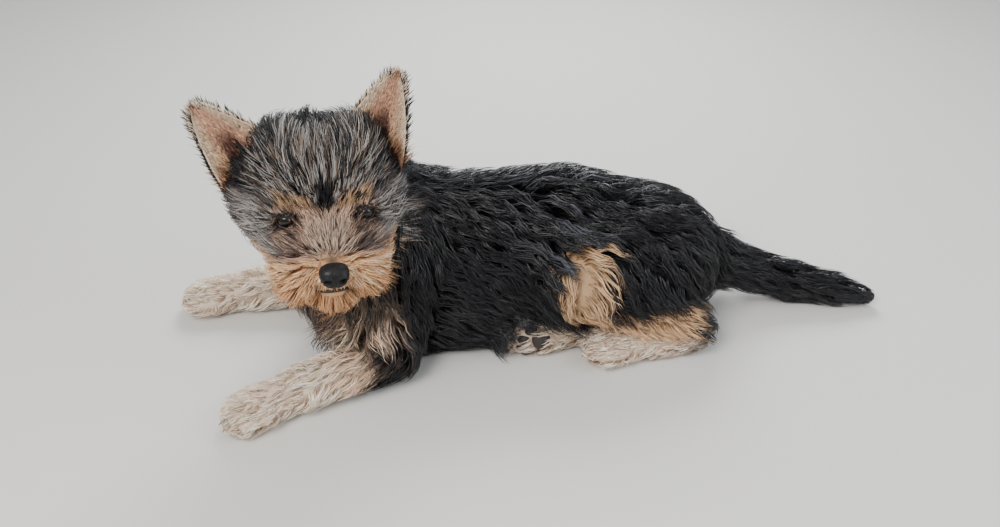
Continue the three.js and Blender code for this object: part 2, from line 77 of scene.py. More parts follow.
def rgb(r, g, b):  # a colour as the eye reads it, made linear
    c = np.array([r, g, b]) / 255
    return np.where(c < 0.04045, c / 12.92, ((c + 0.055) / 1.055) ** 2.4)


# The body's sizes: joints are [x, y, z, radius of the skin], masses are [middle, half sizes]
body = {
    "headAt": (-108, -33, 126),
    "headYaw": 4,
    "headPitch": -4,
    "headRoll": -1,
    "eyeAt": (25, 20.5, 2),
    "eyeRadius": 6.2,
    "noseAt": (57.5, 0, -15.5),
    "trunk": [
        [(-54, 0, 45), (44, 35, 43)],
        [(-44, 0, 68), (34, 25, 27)],
        [(-10, 0, 49), (48, 36, 49)],
        [(38, 1, 60), (46, 33, 37)],
        [(84, 2, 46), (42, 34, 33)],
        [(112, 2, 36), (25, 25, 25)],
        [(-91, -14, 66), (25, 23, 29)],
    ],
    "skull": [
        [(-4, 0, 3), (31, 28.5, 27)],
        [(8, 0, 12), (20, 22, 18)],
        [(3, 20, -9), (20, 13, 17)],
        [(3, -20, -9), (20, 13, 17)],
        [(28, 0, -12), (21, 12, 9.5)],
        [(35, 12, -15), (11, 13, 9.5)],
        [(35, -12, -15), (11, 13, 9.5)],
    ],
    "soft": [
        [(43, 0, -21), (9.5, 10, 6.5)],
        [(33, 12, -25), (12, 11, 10)],
        [(33, -12, -25), (12, 11, 10)],
        [(20.5, 19.5, 1.5), (9.5, 11, 9)],
        [(20.5, -19.5, 1.5), (9.5, 11, 9)],
        [(-9, 28, 5), (11, 9, 13)],
        [(-9, -33, 4), (11, 9, 13)],
    ],
    "jaw": [[(26, 0, -27), (20, 13, 8.5)], [(36, 0, -31), (12, 12, 7.5)], [(43, 0, -34), (8.5, 8, 5.5)]],
    "neck": [(-60, 0, 70, 31), (-84, -6, 92, 28), (-104, -18, 112, 24)],
    "tail": [
        (124, 2, 44, 12),
        (148, 1, 33, 8),
        (172, -3, 22, 6),
        (200, -10, 15, 5),
        (228, -19, 11, 4),
        (247, -26, 8, 2.6),
    ],
    "legs": {
        "foreLeft": [
            [(-70, -24, 58, 19), (-76, -42, 24, 13.5)],
            [(-78, -50, 19, 12), (-128, -66, 15.5, 8.5)],
            [(-132, -67, 14, 9), (-156, -76, 11.5, 10)],
            (-170, -81, 8.5),
        ],
        "foreRight": [
            [(-74, 22, 58, 19), (-98, 34, 24, 13.5)],
            [(-102, 38, 19, 12), (-156, 44, 15, 8.5)],
            [(-160, 44.5, 14, 9), (-186, 46, 11.5, 10)],
            (-201, 48, 8.5),
        ],
        "hindLeft": [
            [(98, -18, 46, 30), (48, -40, 54, 19)],
            [(48, -44, 48, 15), (116, -50, 16, 9)],
            [(119, -53, 12, 8), (66, -53, 11.5, 9.5)],
            (51, -52, 8.5),
        ],
        "hindRight": [
            [(98, 20, 36, 27), (48, 36, 22, 17)],
            [(46, 30, 17, 12), (58, -22, 14, 8)],
            [(54, -30, 12.5, 8), (18, -36, 12, 9.5)],
            (5, -38, 10),
        ],
    },
    "toeRadius": 4.6,
    "toeSpread": 9.6,
    "toeLength": 12,
    "toeBow": 4.5,
    "toeAt": (-1, -0.36, 0.36, 1),
}
# Widths over which neighbouring masses run into each other
joins = {"trunk": 16, "neck": 8, "skull": 7, "jaw": 5, "tail": 5, "toes": 3, "shoulder": 14, "thigh": 18,
         "rest": 6}


def turnMatrix(yaw, pitch, roll):  # degrees about z, then y, then x
    y, p, r = (math.radians(a) for a in (yaw, pitch, roll))
    rz = np.array([[math.cos(y), -math.sin(y), 0], [math.sin(y), math.cos(y), 0], [0, 0, 1]])
    ry = np.array([[math.cos(p), 0, math.sin(p)], [0, 1, 0], [-math.sin(p), 0, math.cos(p)]])
    rx = np.array([[1, 0, 0], [0, math.cos(r), -math.sin(r)], [0, math.sin(r), math.cos(r)]])
    return rz @ ry @ rx


headTurn = turnMatrix(body["headYaw"] - 90, -body["headPitch"], body["headRoll"])
headAt = np.array(body["headAt"], float)


def fromHead(local):  # forward, left, up in the head's frame to the model's frame
    return np.asarray(local, float) @ headTurn.T + headAt


def toHead(points):  # and back
    return (points - headAt) @ headTurn


# Distances to the skin. A cone: the distance to the line from a to b, less a radius that runs from one end's
# to the other's.
def coneField(p, a, b):
    a, b = np.array(a, float), np.array(b, float)
    along = b[:3] - a[:3]
    t = np.clip((p - a[:3]) @ along / (along @ along), 0, 1)
    return np.linalg.norm(p - a[:3] - t[:, None] * along, axis=1) - mix(a[3], b[3], t)


# An ellipsoid, nearly: k0 (k0 - 1) / k1, where k0 is the length of q / half and k1 that of q / half squared
def ellipsoidField(p, middle, half):
    q = p - np.array(middle, float)
    k0 = np.linalg.norm(q / half, axis=1)
    k1 = np.linalg.norm(q / np.square(half), axis=1)
    return k0 * (k0 - 1) / np.maximum(k1, 1e-6)


def smoothMin(a, b, k):  # the lesser, less a parabola where they differ by under k
    return np.minimum(a, b) - np.square(np.maximum(k - np.abs(a - b), 0)) / (4 * k)


def blended(fields, k):  # each field in turn joined to those before it
    total = fields[0]
    for one in fields[1:]:
        total = smoothMin(total, one, k)
    return total


def toes(leg):  # four toes side by side on a shallow bow, as (place, direction)
    ball, tip = np.array(leg[2][1][:3], float), np.array(leg[3], float)
    way = unit(tip - ball)
    upright = leg is body["legs"]["hindRight"]
    across = unit(np.array([0.1, -0.25, 1.0])) if upright else unit(np.cross(way, [0, 0, 1]))
    return [(tip + across * s * body["toeSpread"] - way * body["toeBow"] * s * s, way) for s in body["toeAt"]]


regionNames = ["torso", "neck", "head", "jaw", "tail"]
for legName in body["legs"]:
    regionNames += [legName + part for part in ("Upper", "Lower", "Foot")]


def massesField(p, masses, join):  # ellipsoids run together
    return blended([ellipsoidField(p, *mass) for mass in masses], join)


def chainField(p, joints, join):  # a cone between each two neighbouring joints
    return blended([coneField(p, a, b) for a, b in zip(joints, joints[1:])], join)


def regionFields(p):  # one distance for each region, in the order of regionNames
    local = toHead(p)
    fields = [
        massesField(p, body["trunk"], joins["trunk"]),
        chainField(p, body["neck"], joins["neck"]),
        massesField(local, body["skull"] + body["soft"], joins["skull"]),
        massesField(local, body["jaw"], joins["jaw"]),
        chainField(p, body["tail"], joins["tail"]),
    ]
    radius = body["toeRadius"]
    for leg in body["legs"].values():
        upper, lower, foot, _ = leg
        ends = [(at - way * body["toeLength"], at) for at, way in toes(leg)]
        digits = [coneField(p, (*back, radius), (*front, radius)) for back, front in ends]
        foot = blended([coneField(p, *foot)] + digits, joins["toes"])
        fields += [coneField(p, *upper), coneField(p, *lower), foot]
    return np.array(fields)


def wholeField(p):  # thighs and shoulders run softly into the trunk, the rest more sharply
    fields = dict(zip(regionNames, regionFields(p)))
    total = smoothMin(fields.pop("torso"), fields.pop("neck"), joins["shoulder"])
    for name in [name for name in fields if name.endswith("Upper")]:
        total = smoothMin(total, fields.pop(name), joins["thigh"])
    return blended([total, *fields.values()], joins["rest"])


# The field is worked out once on a grid and read from it afterwards
grid = {"low": (-236, -120, -14), "high": (290, 100, 216), "step": 2.2}
gridLow = np.array(grid["low"], float)
gridCount = np.ceil((np.array(grid["high"]) - gridLow) / grid["step"]).astype(int)


def sampleField():  # one slice of the grid for each x
    axes = [gridLow[k] + grid["step"] * np.arange(gridCount[k]) for k in range(3)]
    out = np.empty(tuple(gridCount), np.float32)
    for i, x in enumerate(axes[0]):
        y, z = np.meshgrid(axes[1], axes[2], indexing="ij")
        p = np.stack([np.full(y.size, x), y.ravel(), z.ravel()], axis=1)
        out[i] = wholeField(p).reshape(y.shape)
    return out


fieldGrid = sampleField()
fieldAndSlope = np.stack([fieldGrid, *np.gradient(fieldGrid, grid["step"])], axis=-1)
print("field sampled", fieldGrid.shape)


def near(p):  # distance from the skin and the outward direction, read between grid points
    g = np.clip((p - gridLow) / grid["step"], 0, gridCount - 1.001)
    cell = g.astype(int)
    part = g - cell
    total = 0
    for corner in np.ndindex(2, 2, 2):
        weight = np.prod(np.where(corner, part, 1 - part), axis=-1)[..., None]
        at = cell + corner
        total = total + weight * fieldAndSlope[at[..., 0], at[..., 1], at[..., 2]]
    return total[..., 0], unit(total[..., 1:])


# Materials
class Socket:  # a node's output, with sums and products written as plain Python
    def __init__(self, shader, output):
        self.shader, self.output = shader, output

    def maths(self, operation, other):
        return self.shader.node("ShaderNodeMath", {"operation": operation}, {0: self, 1: other})

    def __add__(self, other):
        return self.maths("ADD", other)

    def __mul__(self, other):
        return self.maths("MULTIPLY", other)


class Shader:  # a material: values are constants of its surface shader, node() adds any other node
    def __init__(self, name, **values):
        self.material = bpy.data.materials.new(name)
        self.material.use_nodes = True
        self.tree = self.material.node_tree
        self.surface = self.tree.nodes["Principled BSDF"]
        for key, value in values.items():
            self.surface.inputs[key.replace("_", " ")].default_value = value

    def node(self, kind, settings=None, sockets=None, output=0):
        made = self.tree.nodes.new(kind)
        for key, value in (settings or {}).items():
            setattr(made, key, value)
        for key, value in (sockets or {}).items():
            if isinstance(value, Socket):
                self.tree.links.new(value.output, made.inputs[key])
            else:
                made.inputs[key].default_value = value
        return Socket(self, made.outputs[output])

    def feed(self, name, socket):
        self.tree.links.new(socket.output, self.surface.inputs[name])

    def place(self):
        return self.node("ShaderNodeTexCoord", output="Object")

    def noise(self, scale, detail=4):
        return self.node("ShaderNodeTexNoise", None, {"Vector": self.place(), "Scale": scale, "Detail": detail})

    def blendColours(self, kind, amount, a, b):
        sockets = {0: amount, 6: a, 7: b}
        return self.node("ShaderNodeMix", {"data_type": "RGBA", "blend_type": kind}, sockets, output=2)

    def tinted(self, shade):  # the piece's own colours times a grey
        own = self.node("ShaderNodeAttribute", {"attribute_name": "coatColour"}, output="Color")
        grey = self.node("ShaderNodeCombineColor", None, {0: shade, 1: shade, 2: shade})
        self.feed("Base Color", self.blendColours("MULTIPLY", 1.0, own, grey))

    def bump(self, height, strength, distance):
        sockets = {"Height": height, "Strength": strength, "Distance": distance * mm}
        self.feed("Normal", self.node("ShaderNodeBump", None, sockets))


def coatMaterial(name, roughness, sheen):
    made = Shader(name, Roughness=roughness, Specular_IOR_Level=sheen)
    made.tinted(made.noise(260, 2) * 0.5 + 0.75)
    return made.material


def skinMaterial(name):
    made = Shader(name, Roughness=0.7, Specular_IOR_Level=0.3)
    grain = made.noise(900, 5)
    made.tinted(grain * 0.5 + 0.7)
    made.bump(grain, 0.5, 0.6)
    return made.material


def noseMaterial():
    made = Shader("noseLeather", Specular_IOR_Level=0.12, Coat_Roughness=0.2)
    pebble = made.node("ShaderNodeTexVoronoi", None, {"Vector": made.place(), "Scale": 1500}, output="Distance")
    blotch = made.noise(300, 3)
    dark, worn = (0.006, 0.006, 0.007, 1), (0.022, 0.02, 0.021, 1)
    made.feed("Base Color", made.blendColours("MIX", blotch, dark, worn))
    made.feed("Roughness", blotch * 0.2 + 0.3)
    made.feed("Coat Weight", blotch * 0.25)
    made.bump(pebble * -1.0, 0.6, 0.35)
    return made.material


def eyeMaterial():
    made = Shader("wetEye", Roughness=0.05, Specular_IOR_Level=0.3, Coat_Weight=0.35, Coat_Roughness=0.02)
    made.tinted(made.noise(1400, 4) + 0.5)
    return made.material


def plainMaterial(name, dark, light, scale, roughness, bump):
    made = Shader(name, Specular_IOR_Level=0.45)
    mottled = made.noise(scale, 4)
    made.feed("Base Color", made.blendColours("MIX", mottled, (*dark, 1), (*light, 1)))
    made.feed("Roughness", mottled * 0.2 + roughness)
    made.bump(mottled, 0.4, bump)
    return made.material


materials = {
    "dark": coatMaterial("blackHair", 0.33, 0.6),
    "pale": coatMaterial("tanHair", 0.5, 0.4),
    "skin": skinMaterial("skin"),
    "nose": noseMaterial(),
    "eye": eyeMaterial(),
    "lid": plainMaterial("darkRim", rgb(16, 13, 13), rgb(34, 27, 25), 700, 0.42, 0.2),
    "claw": plainMaterial("claw", rgb(70, 60, 52), rgb(150, 132, 112), 500, 0.35, 0.1),
    "pad": plainMaterial("padLeather", rgb(28, 25, 26), rgb(62, 54, 52), 900, 0.5, 0.5),
    "whisker": plainMaterial("whisker", rgb(96, 88, 80), rgb(168, 158, 146), 300, 0.4, 0.02),
}
print("materials made")


# Meshes from arrays
def addPiece(name, points, faces, material, colours=None, uvs=None):
    mesh = bpy.data.meshes.new(name)
    faces = np.asarray(faces, np.int32)
    sides = faces.shape[1]
    mesh.vertices.add(len(points))
    mesh.vertices.foreach_set("co", (np.asarray(points, float) * mm).ravel())
    mesh.loops.add(faces.size)
    mesh.loops.foreach_set("vertex_index", faces.ravel())
    mesh.polygons.add(len(faces))
    mesh.polygons.foreach_set("loop_start", np.arange(0, faces.size, sides, dtype=np.int32))
    mesh.polygons.foreach_set("loop_total", np.full(len(faces), sides, np.int32))
    mesh.polygons.foreach_set("use_smooth", np.ones(len(faces), bool))
    if colours is not None:
        tint = mesh.attributes.new("coatColour", "FLOAT_COLOR", "POINT")
        tint.data.foreach_set("color", np.column_stack([np.clip(colours, 0, 1), np.ones(len(points))]).ravel())
    if uvs is not None:
        layer = mesh.uv_layers.new(name="OFBake")
        layer.data.foreach_set("uv", uvs[faces.ravel()].ravel())
    mesh.update(calc_edges=True)
    mesh.validate()
    mesh.materials.append(material)
    made = bpy.data.objects.new(name, mesh)
    bpy.context.collection.objects.link(made)
    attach(made, "root")
    return made


def turnedOut(points, faces, middle=0):  # the volume seen from the middle tells which way the faces point
    a, b, c = (points[faces[:, n]] - middle for n in range(3))
    inward = np.einsum("ij,ij->i", a, np.cross(b, c)).sum() < 0
    return faces[:, ::-1] if inward else faces


def roundAngles(rows, around, edge):  # angles from pole to pole and all round, for ellipsoids and balls
    polar = np.linspace(edge, math.pi - edge, rows)[:, None]
    return polar, np.linspace(0, 2 * math.pi, around, endpoint=False)[None]


def gridFaces(rows, around):  # four-sided faces of a grid whose second side is closed
    i, j = np.meshgrid(np.arange(rows - 1), np.arange(around), indexing="ij")
    a = i * around + j
    b = i * around + (j + 1) % around
    return np.stack([a, b, b + around, a + around], axis=-1).reshape(-1, 4)


def closedGrid(points):  # a tube-like grid (rows, around, 3) with its ends closed by a middle point
    rows, around, _ = points.shape
    quads = gridFaces(rows, around)
    triangles = np.concatenate([quads[:, [0, 1, 2]], quads[:, [0, 2, 3]]])
    first, last = rows * around, rows * around + 1
    j = np.arange(around)
    k = (j + 1) % around
    ends = [
        np.stack([np.full(around, first), k, j], axis=1),
        np.stack([np.full(around, last), j + (rows - 1) * around, k + (rows - 1) * around], axis=1),
    ]
    every = np.concatenate([points.reshape(-1, 3), [points[0].mean(axis=0), points[-1].mean(axis=0)]])
    return every, turnedOut(every, np.concatenate([triangles, *ends]))


def joinGrids(grids):  # several closed grids as one mesh, their point numbers moved on
    points, faces, count = [], [], 0
    for one in grids:
        p, f = closedGrid(one)
        points.append(p)
        faces.append(f + count)
        count += len(p)
    return np.concatenate(points), np.concatenate(faces)


def tube(path, radii, around=10):  # a round profile carried along a path
    path = np.asarray(path, float)
    way = unit(np.gradient(path, axis=0))
    side = unit(np.cross(way, np.array([0.13, 0.21, 0.97])))
    up = np.cross(way, side)
    a = np.linspace(0, 2 * math.pi, around, endpoint=False)
    ring = side[:, None] * np.cos(a)[:, None] + up[:, None] * np.sin(a)[:, None]
    return path[:, None] + ring * np.asarray(radii, float)[:, None, None]


def curve(points, count):  # a smooth path through a few points: cubic between each two, with their mean slopes
    points = np.asarray(points, float)
    knots = np.arange(len(points))
    t = np.linspace(0, len(points) - 1, count)
    i = np.clip(t.astype(int), 0, len(points) - 2)
    s = (t - i)[:, None]
    slopes = np.gradient(points, knots, axis=0)
    a, b, ma, mb = points[i], points[i + 1], slopes[i], slopes[i + 1]
    ends = (2 * s**3 - 3 * s**2 + 1) * a + (s**3 - 2 * s**2 + s) * ma + (3 * s**2 - 2 * s**3) * b
    return ends + (s**3 - s**2) * mb


# Markings of the coat, the same for skin and hair
tones = {
    "black": rgb(20, 19, 23),
    "charcoal": rgb(46, 44, 48),
    "silver": rgb(160, 155, 150),
    # blue-grey of the painted highlight on the back
    "sheenBlueGrey": rgb(88, 89, 98),
    "gold": rgb(229, 180, 134),
    "brow": rgb(170, 136, 102),
    "fawn": rgb(128, 106, 88),
    "ochre": rgb(216, 176, 136),
    "russet": rgb(212, 158, 112),
    "rust": rgb(146, 98, 66),
    "cream": rgb(255, 234, 214),
    "tan": rgb(240, 208, 180),
    "bridge": rgb(186, 164, 146),
    "cheek": rgb(214, 178, 154),
    "brown": rgb(112, 92, 78),
}


def legPlace(p, segment):  # how far along a leg's segment, 0 to 1
    a, b = (np.array(end[:3], float) for end in segment)
    return np.clip((p - a) @ (b - a) / ((b - a) @ (b - a)), 0, 1)


# Colours at points p: masks painted one over another. dice is a random number for each point, for streaks.
def markings(p, region, dice):
    colour = np.tile(tones["black"], (len(p), 1))

    def paint(mask, tone):
        colour[:] = mix(colour, tones[tone], np.clip(mask, 0, 1)[:, None])

    x, y, z = p.T
    f, s, u = toHead(p).T
    a = np.abs(s)
    name = np.array(regionNames)[region]
    # trunk: blue-grey streaks on the upper flank and back as a painted highlight, tan and grey under the chin
    trunk = (name == "torso") | (name == "neck")
    shoulder = trunk | (name == "foreLeftUpper")
    # painted highlight: blue-grey hairs streaked over the top of the back and upper flank, standing in for the
    # coat's sheen
    backSheen = within(x, 24, 22, 22) * within(z, 88, 14, 18) * (y < 12) * (dice > 0.7)
    paint(trunk * backSheen * 0.7, "sheenBlueGrey")
    paint(trunk * (dice > 0.93) * 0.5, "charcoal")
    throat = ease(-y, 4, 22) * ease(-x, 66, 84) * within(z, 56, 26, 14)
    paint(shoulder * throat * (dice > 0.35) * 0.8, "brown")
    chest = within(x, -88, 9, 8) * ease(-y, 24, 38) * within(z, 49, 9, 8)
    paint(shoulder * chest * (0.25 + 0.75 * (dice > 0.4)), "tan")
    # legs: black above, cream below
    for index, (legName, leg) in enumerate(body["legs"].items()):
        base = 5 + 3 * index
        upper, lower, foot = (region == base + k for k in range(3))
        along = legPlace(p, leg[1]) + (dice - 0.5) * 0.3
        if legName == "hindLeft":
            band = within(x + (dice - 0.5) * 5, 41, 8, 5) * ease(84 - z, 0, 8) * ease(-y, 22, 32)
            paint((upper | lower) * band, "ochre")
            shin = ease(37 - z + (dice - 0.5) * 5, -2, 4) * ease(-x, -116, -108)
            paint((upper | lower) * shin, "ochre")
        elif legName == "hindRight":
            paint(lower * 0.85, "tan")
        else:
            paint(lower * ease(along, 0.0, 0.3), "brown")
            paint(lower * ease(along, 0.1, 0.42), "tan")
            paint(lower * ease(along, 0.4, 0.8) * 0.8, "cream")
        paint(foot, "tan")
        paint(foot * (0.3 + 0.6 * dice), "cream")
        if legName.startswith("hind"):
            heel = np.linalg.norm(p - np.array(leg[2][0][:3]) - (3, 0, 4), axis=1) + dice * 8
            paint((foot | lower) * (1 - ease(heel, 12, 21)) * 0.85, "charcoal")
    # head: dark at the back, silver streaks on the crown
    head = (name == "head") | (name == "jaw")
    paint(head * ease(f, -14, 4), "charcoal")
    crown = head * ease(f, -18, 2) * ease(u, 10, 16)
    paint(crown * (dice > 0.58) * 0.85, "silver")
    paint(crown * within(dice, 0.5, 0.06, 0.01) * 0.8, "fawn")
    paint(crown * (dice < 0.36 + 0.22 * ease(-f, -8, 4)), "black")
    cheek = head * ease(f, -2, 14) * ease(12 - u, 0, 5)
    paint(cheek * (0.6 + 0.4 * (dice > 0.3)), "cheek")
    paint(cheek * (dice > 0.8) * 0.7, "charcoal")
    rear = np.where(s > 0, 1, 3)
    edge = head * ease(a, 25, 32) * within(u, -9, 16, 6) * ease(f, rear, rear + 9)
    paint(head * (1 - ease(f, 0, 8)) * ease(a, 22, 30) * 0.85, "black")
    paint(edge * 0.9, "charcoal")
    paint(edge * (dice > 0.38) * 0.95, "silver")
    paint(head * ease(a, 33, 39) * ease(u, -14, -4) * ease(-f, -14, -4) * 0.92, "black")
    face = head * ease(f, 8, 16)
    socket = face * (1 - ease(np.hypot((a - 21.5) / 1.5, u - 2.5), 5.2, 7.6))
    paint(socket * (0.35 + 0.55 * (dice > 0.4)), "black")
    brow = face * within(a, 17, 8, 4) * within(u - 0.12 * (a - 8), 12, 2.6, 2.2)
    paint(brow * (dice > 0.3) * 0.85, "brow")
    paint(brow * (dice > 0.85) * 0.5, "gold")
    stripe = face * within(s, 0, 2.4, 3.5) * within(u, 17, 6, 5)
    paint(stripe * (dice > 0.2), "black")
    bridge = head * ease(f, 28, 35) * within(a, 0, 8, 6) * within(u, -3, 8, 4)
    paint(bridge * (0.5 + 0.5 * (dice > 0.3)), "bridge")
    paint(bridge * (dice > 0.82) * 0.6, "charcoal")
    streaks = face * within(a, 20, 8, 4) * within(u + 0.14 * a, -3.6, 2.2, 2)
    paint(streaks * (dice > 0.45) * 0.85, "charcoal")
    aboveNose = head * (1 - ease(np.linalg.norm(toHead(p) - (54, 0, -10), axis=1), 4.5, 8.5))
    moustache = head * ease(f, 14, 22) * ease(-u - 0.15 * a, 6.5, 9.5)
    paint(moustache, "gold")
    paint(aboveNose * ease(u, -17, -13) * (0.45 + 0.4 * (dice > 0.4)), "charcoal")
    paint(moustache * (dice > 0.7) * 0.4, "cream")
    beard = head * ease(-u, 29, 36) * ease(f, 4, 16)
    paint(beard * (0.4 + 0.6 * (dice > 0.4)) * 0.8, "russet")
    fringe = head * within(a, 0, 7, 3) * within(u, -24, 2.6, 1.4) * ease(f, 44, 49)
    paint(fringe * (dice > 0.5) * 0.35, "cream")
    return colour


def regionOf(p):  # number of the region whose own skin lies nearest or deepest
    return regionFields(p).argmin(axis=0)


# One skin over all the flesh, by cutting the field's zero level out of the grid: a point in each cell
# that the surface crosses, the mean of its crossings of the cell's edges, joined to the next three cells
# across each grid edge that changes sign.
def surfaceFromGrid(values, low, step):
    inside = values < 0
    count = np.zeros(np.array(values.shape) - 1, np.int32)
    total = np.zeros((*count.shape, 3), np.float32)
    for axis in range(3):
        head = np.moveaxis(values, axis, 0)
        change = np.moveaxis(inside, axis, 0)[:-1] != np.moveaxis(inside, axis, 0)[1:]
        share = np.moveaxis(np.where(change, head[:-1] / np.where(change, head[:-1] - head[1:], 1), 0), 0, axis)
        change = np.moveaxis(change, 0, axis)
        others = [k for k in range(3) if k != axis]
        for shift in np.ndindex(2, 2):
            cut = [slice(None)] * 3
            for k, by in zip(others, shift):
                cut[k] = slice(by, values.shape[k] - 1 + by)
            hit = change[tuple(cut)]
            count += hit
            total[..., axis] += share[tuple(cut)] * hit
            for k, by in zip(others, shift):
                total[..., k] += by * hit
    active = count > 0
    number = np.full(count.shape, -1, np.int64)
    number[active] = np.arange(active.sum())
    cells = np.argwhere(active)
    points = low + step * (cells + total[active] / count[active][:, None])
    faces = []
    for axis in range(3):
        b, c = [(axis + 1) % 3, (axis + 2) % 3]
        first, second = np.moveaxis(inside, axis, 0)[:-1], np.moveaxis(inside, axis, 0)[1:]
        change = np.moveaxis(first != second, 0, axis)
        where = np.argwhere(change)
        where = where[(where[:, b] > 0) & (where[:, c] > 0)]
        where = where[(where[:, b] < number.shape[b]) & (where[:, c] < number.shape[c])]
        corners = []
        for db, dc in ((0, 0), (-1, 0), (-1, -1), (0, -1)):
            at = where.copy()
            at[:, b] += db
            at[:, c] += dc
            corners.append(number[tuple(at.T)])
        quad = np.stack(corners, axis=1)
        outward = inside[tuple(where.T)]
        faces.append(np.where(outward[:, None], quad, quad[:, ::-1]))
    return points, np.concatenate(faces)


skinPoints, skinFaces = surfaceFromGrid(fieldGrid, gridLow, grid["step"])
for _ in range(3):
    depth, outward = near(skinPoints)
    skinPoints = skinPoints - outward * depth[:, None] * 0.8
skinPoints[:, 2] = np.maximum(skinPoints[:, 2], 0.4)
skinRegion = regionOf(skinPoints)
skinTint = markings(skinPoints, skinRegion, np.full(len(skinPoints), 0.5)) * 0.75
flesh = [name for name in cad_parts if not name.startswith(("eye", "nose", "ear"))]
skin = addPiece("skin", skinPoints, skinFaces, materials["skin"], skinTint)
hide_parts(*flesh)
print("skin", len(skinFaces), "faces")


# Lie of the coat at points p of one region. On the face it runs away from a place on the bridge of the nose.
facePole = np.array([54.0, 0, -14])


def lie(p, name):
    x, y, z = p.T
    one = np.ones(len(p))
    if name == "torso":
        front = ease(-x, 66, 92)[:, None]
        way = np.stack([0.8 * one, 0.34 * np.tanh(y / 9), -0.5 * one], axis=1)
        return mix(way, np.array([-0.12, -0.15, -1.0]), front)
    if name == "neck":
        front = ease(-y - 0.5 * x, 48, 76)[:, None]
        way = np.stack([0.7 * one, 0.35 * np.tanh((y + 12) / 12), -0.65 * one], axis=1)
        return mix(way, np.array([0.05, -0.3, -1.0]), front)
    if name in ("head", "jaw"):
        local = toHead(p)
        f, s, u = local.T
        way = unit(local - facePole)
        aside = ease(np.abs(s), 8, 20)
        way = way + ease(u, 16, 30)[:, None] * np.array([-0.5, 0, 0.2])
        way = way + (ease(-u, 12, 22) * (1 - 0.75 * aside))[:, None] * np.array([0.25, 0, -0.9])
        way = way + (ease(np.abs(s), 18, 30) * ease(-f, -30, -14))[:, None] * np.array([-0.3, 0, -0.35])
        way = way + (ease(-f, -12, 4) * ease(-u, -4, 12))[:, None] * np.array([0.1, 0, -1.0])
        return way @ headTurn.T
    if name == "tail":
        return np.stack([0.93 * one, -0.27 * one, -0.25 * one], axis=1)
    legName = next(legName for legName in body["legs"] if name.startswith(legName))
    part = ("Upper", "Lower", "Foot").index(name[len(legName) :])
    a, b = (np.array(end[:3], float) for end in body["legs"][legName][part])
    way = unit(b - a)
    if part == 0:
        way = np.array([0.4, 0, -1.0]) if legName.startswith("hind") else unit(way + np.array([0.6, 0, -0.3]))
    if part == 1:
        way = unit(way + np.array([0.15, 0, -0.35]))
    return np.tile(way, (len(p), 1))


# Coat: guides first, then many tufts drawn to the nearest guide so that they gather in locks
growth = {
    "lift": [0.0, 0.5, 0.74, 0.88, 0.96, 1.0, 1.02, 1.02],
    "own": (0.62, 1.0),  # a tuft's length as a share of its guide's
    "low": (0.3, 1.0),  # and its height as a share of the coat's depth
    "sunk": 1.0,
    "floor": 0.5,
    "guideFloor": 0.8,
    "straight": 0.2,  # a tuft is kinked where the cosine between two of its steps is less
    "ruff": 22,
    "shade": 0.22,
    "lockShade": 0.25,
}


def rise(t, stand):  # share of the coat's depth reached at t along a hair
    lift = growth["lift"]
    return np.interp(t ** (1 / (0.6 + stand)), np.linspace(0, 1, len(lift)), lift)


def settle(p, wanted, share=1):  # points moved outward or inward to their height over the skin
    depth, outward = near(p)
    return p + outward * ((wanted - depth) * share)[:, None], outward


# Guide hairs: steps of equal length along the lie of the coat, flattened onto the skin and swung to the side by
# wave cos(phase + 2 pi t length / waveLength), each settled at the height depth rise(t).
def growGuides(roots, names, style):
    steps = style["rings"] + 2
    length = style["length"] * style["guideScale"]
    p = roots.copy()
    path = [p]
    _, outward = near(p)
    phase = rng.uniform(0, 2 * math.pi, len(roots))
    swing = rng.normal(0, style["stray"], (len(roots), 3))
    for k in range(1, steps + 1):
        t = k / steps
        way = np.zeros_like(p)
        for name in set(names):
            mine = names == name
            way[mine] = lie(p[mine], name)
        way = unit(way) + swing
        way = way - outward * np.sum(way * outward, axis=1, keepdims=True)
        side = unit(np.cross(outward, way))
        turn = style["wave"] * np.cos(phase + 2 * math.pi * t * length / style["waveLength"])
        step = unit(unit(way) + side * turn[:, None]) * (length / steps)[:, None]
        p, outward = settle(p + step, style["depth"] * rise(t, style["stand"]))
        p[:, 2] = np.maximum(p[:, 2], growth["guideFloor"])
        path.append(p)
    return np.stack(path, axis=1)


def nearest(points, targets):  # number of the nearest target, some thousand points at a time
    out = np.empty(len(points), int)
    for start in range(0, len(points), 3000):
        part = points[start : start + 3000]
        out[start : start + 3000] = np.square(part[:, None] - targets[None]).sum(axis=-1).argmin(axis=1)
    return out


def picked(style, mask):  # a style's values for some of its roots; plain numbers stay
    return {key: value[mask] if np.ndim(value) else value for key, value in style.items()}


# Tufts: each follows its nearest guide for its own share of the length. Its offset from the guide shrinks by
# clump t^0.8, its frizz grows with t, and its height is its own share of depth rise(t).
def growTufts(roots, names, style):
    _, outward = near(roots)
    chosen = rng.choice(len(roots), max(8, int(len(roots) * style["guides"])), replace=False)
    guides = growGuides(roots[chosen], names[chosen], picked(style, chosen))
    key = np.hstack([roots, outward * 8])
    mine = nearest(key, key[chosen])
    steps = style["rings"]
    full = guides.shape[1] - 1
    short = rng.uniform(*growth["own"], len(roots))
    own = rng.uniform(*growth["low"], len(roots)) ** 0.8
    offset = roots - guides[mine, 0]
    frizz = rng.normal(0, style["frizz"], (len(roots), 3))
    path = []
    for k in range(steps + 1):
        t = k / steps
        g = short * t * full
        low = np.minimum(g.astype(int), full - 1)
        at = mix(guides[mine, low], guides[mine, low + 1], (g - low)[:, None])
        gather = style["clump"] * t**0.8
        wanted = style["depth"] * rise(t, style["stand"]) * own
        p, outward = settle(at + offset * (1 - gather) + frizz * t, wanted, 0.85 if k else 1)
        p[:, 2] = np.maximum(p[:, 2], growth["floor"])
        path.append(p if k else roots - outward * growth["sunk"])
    return np.stack(path, axis=1), mine


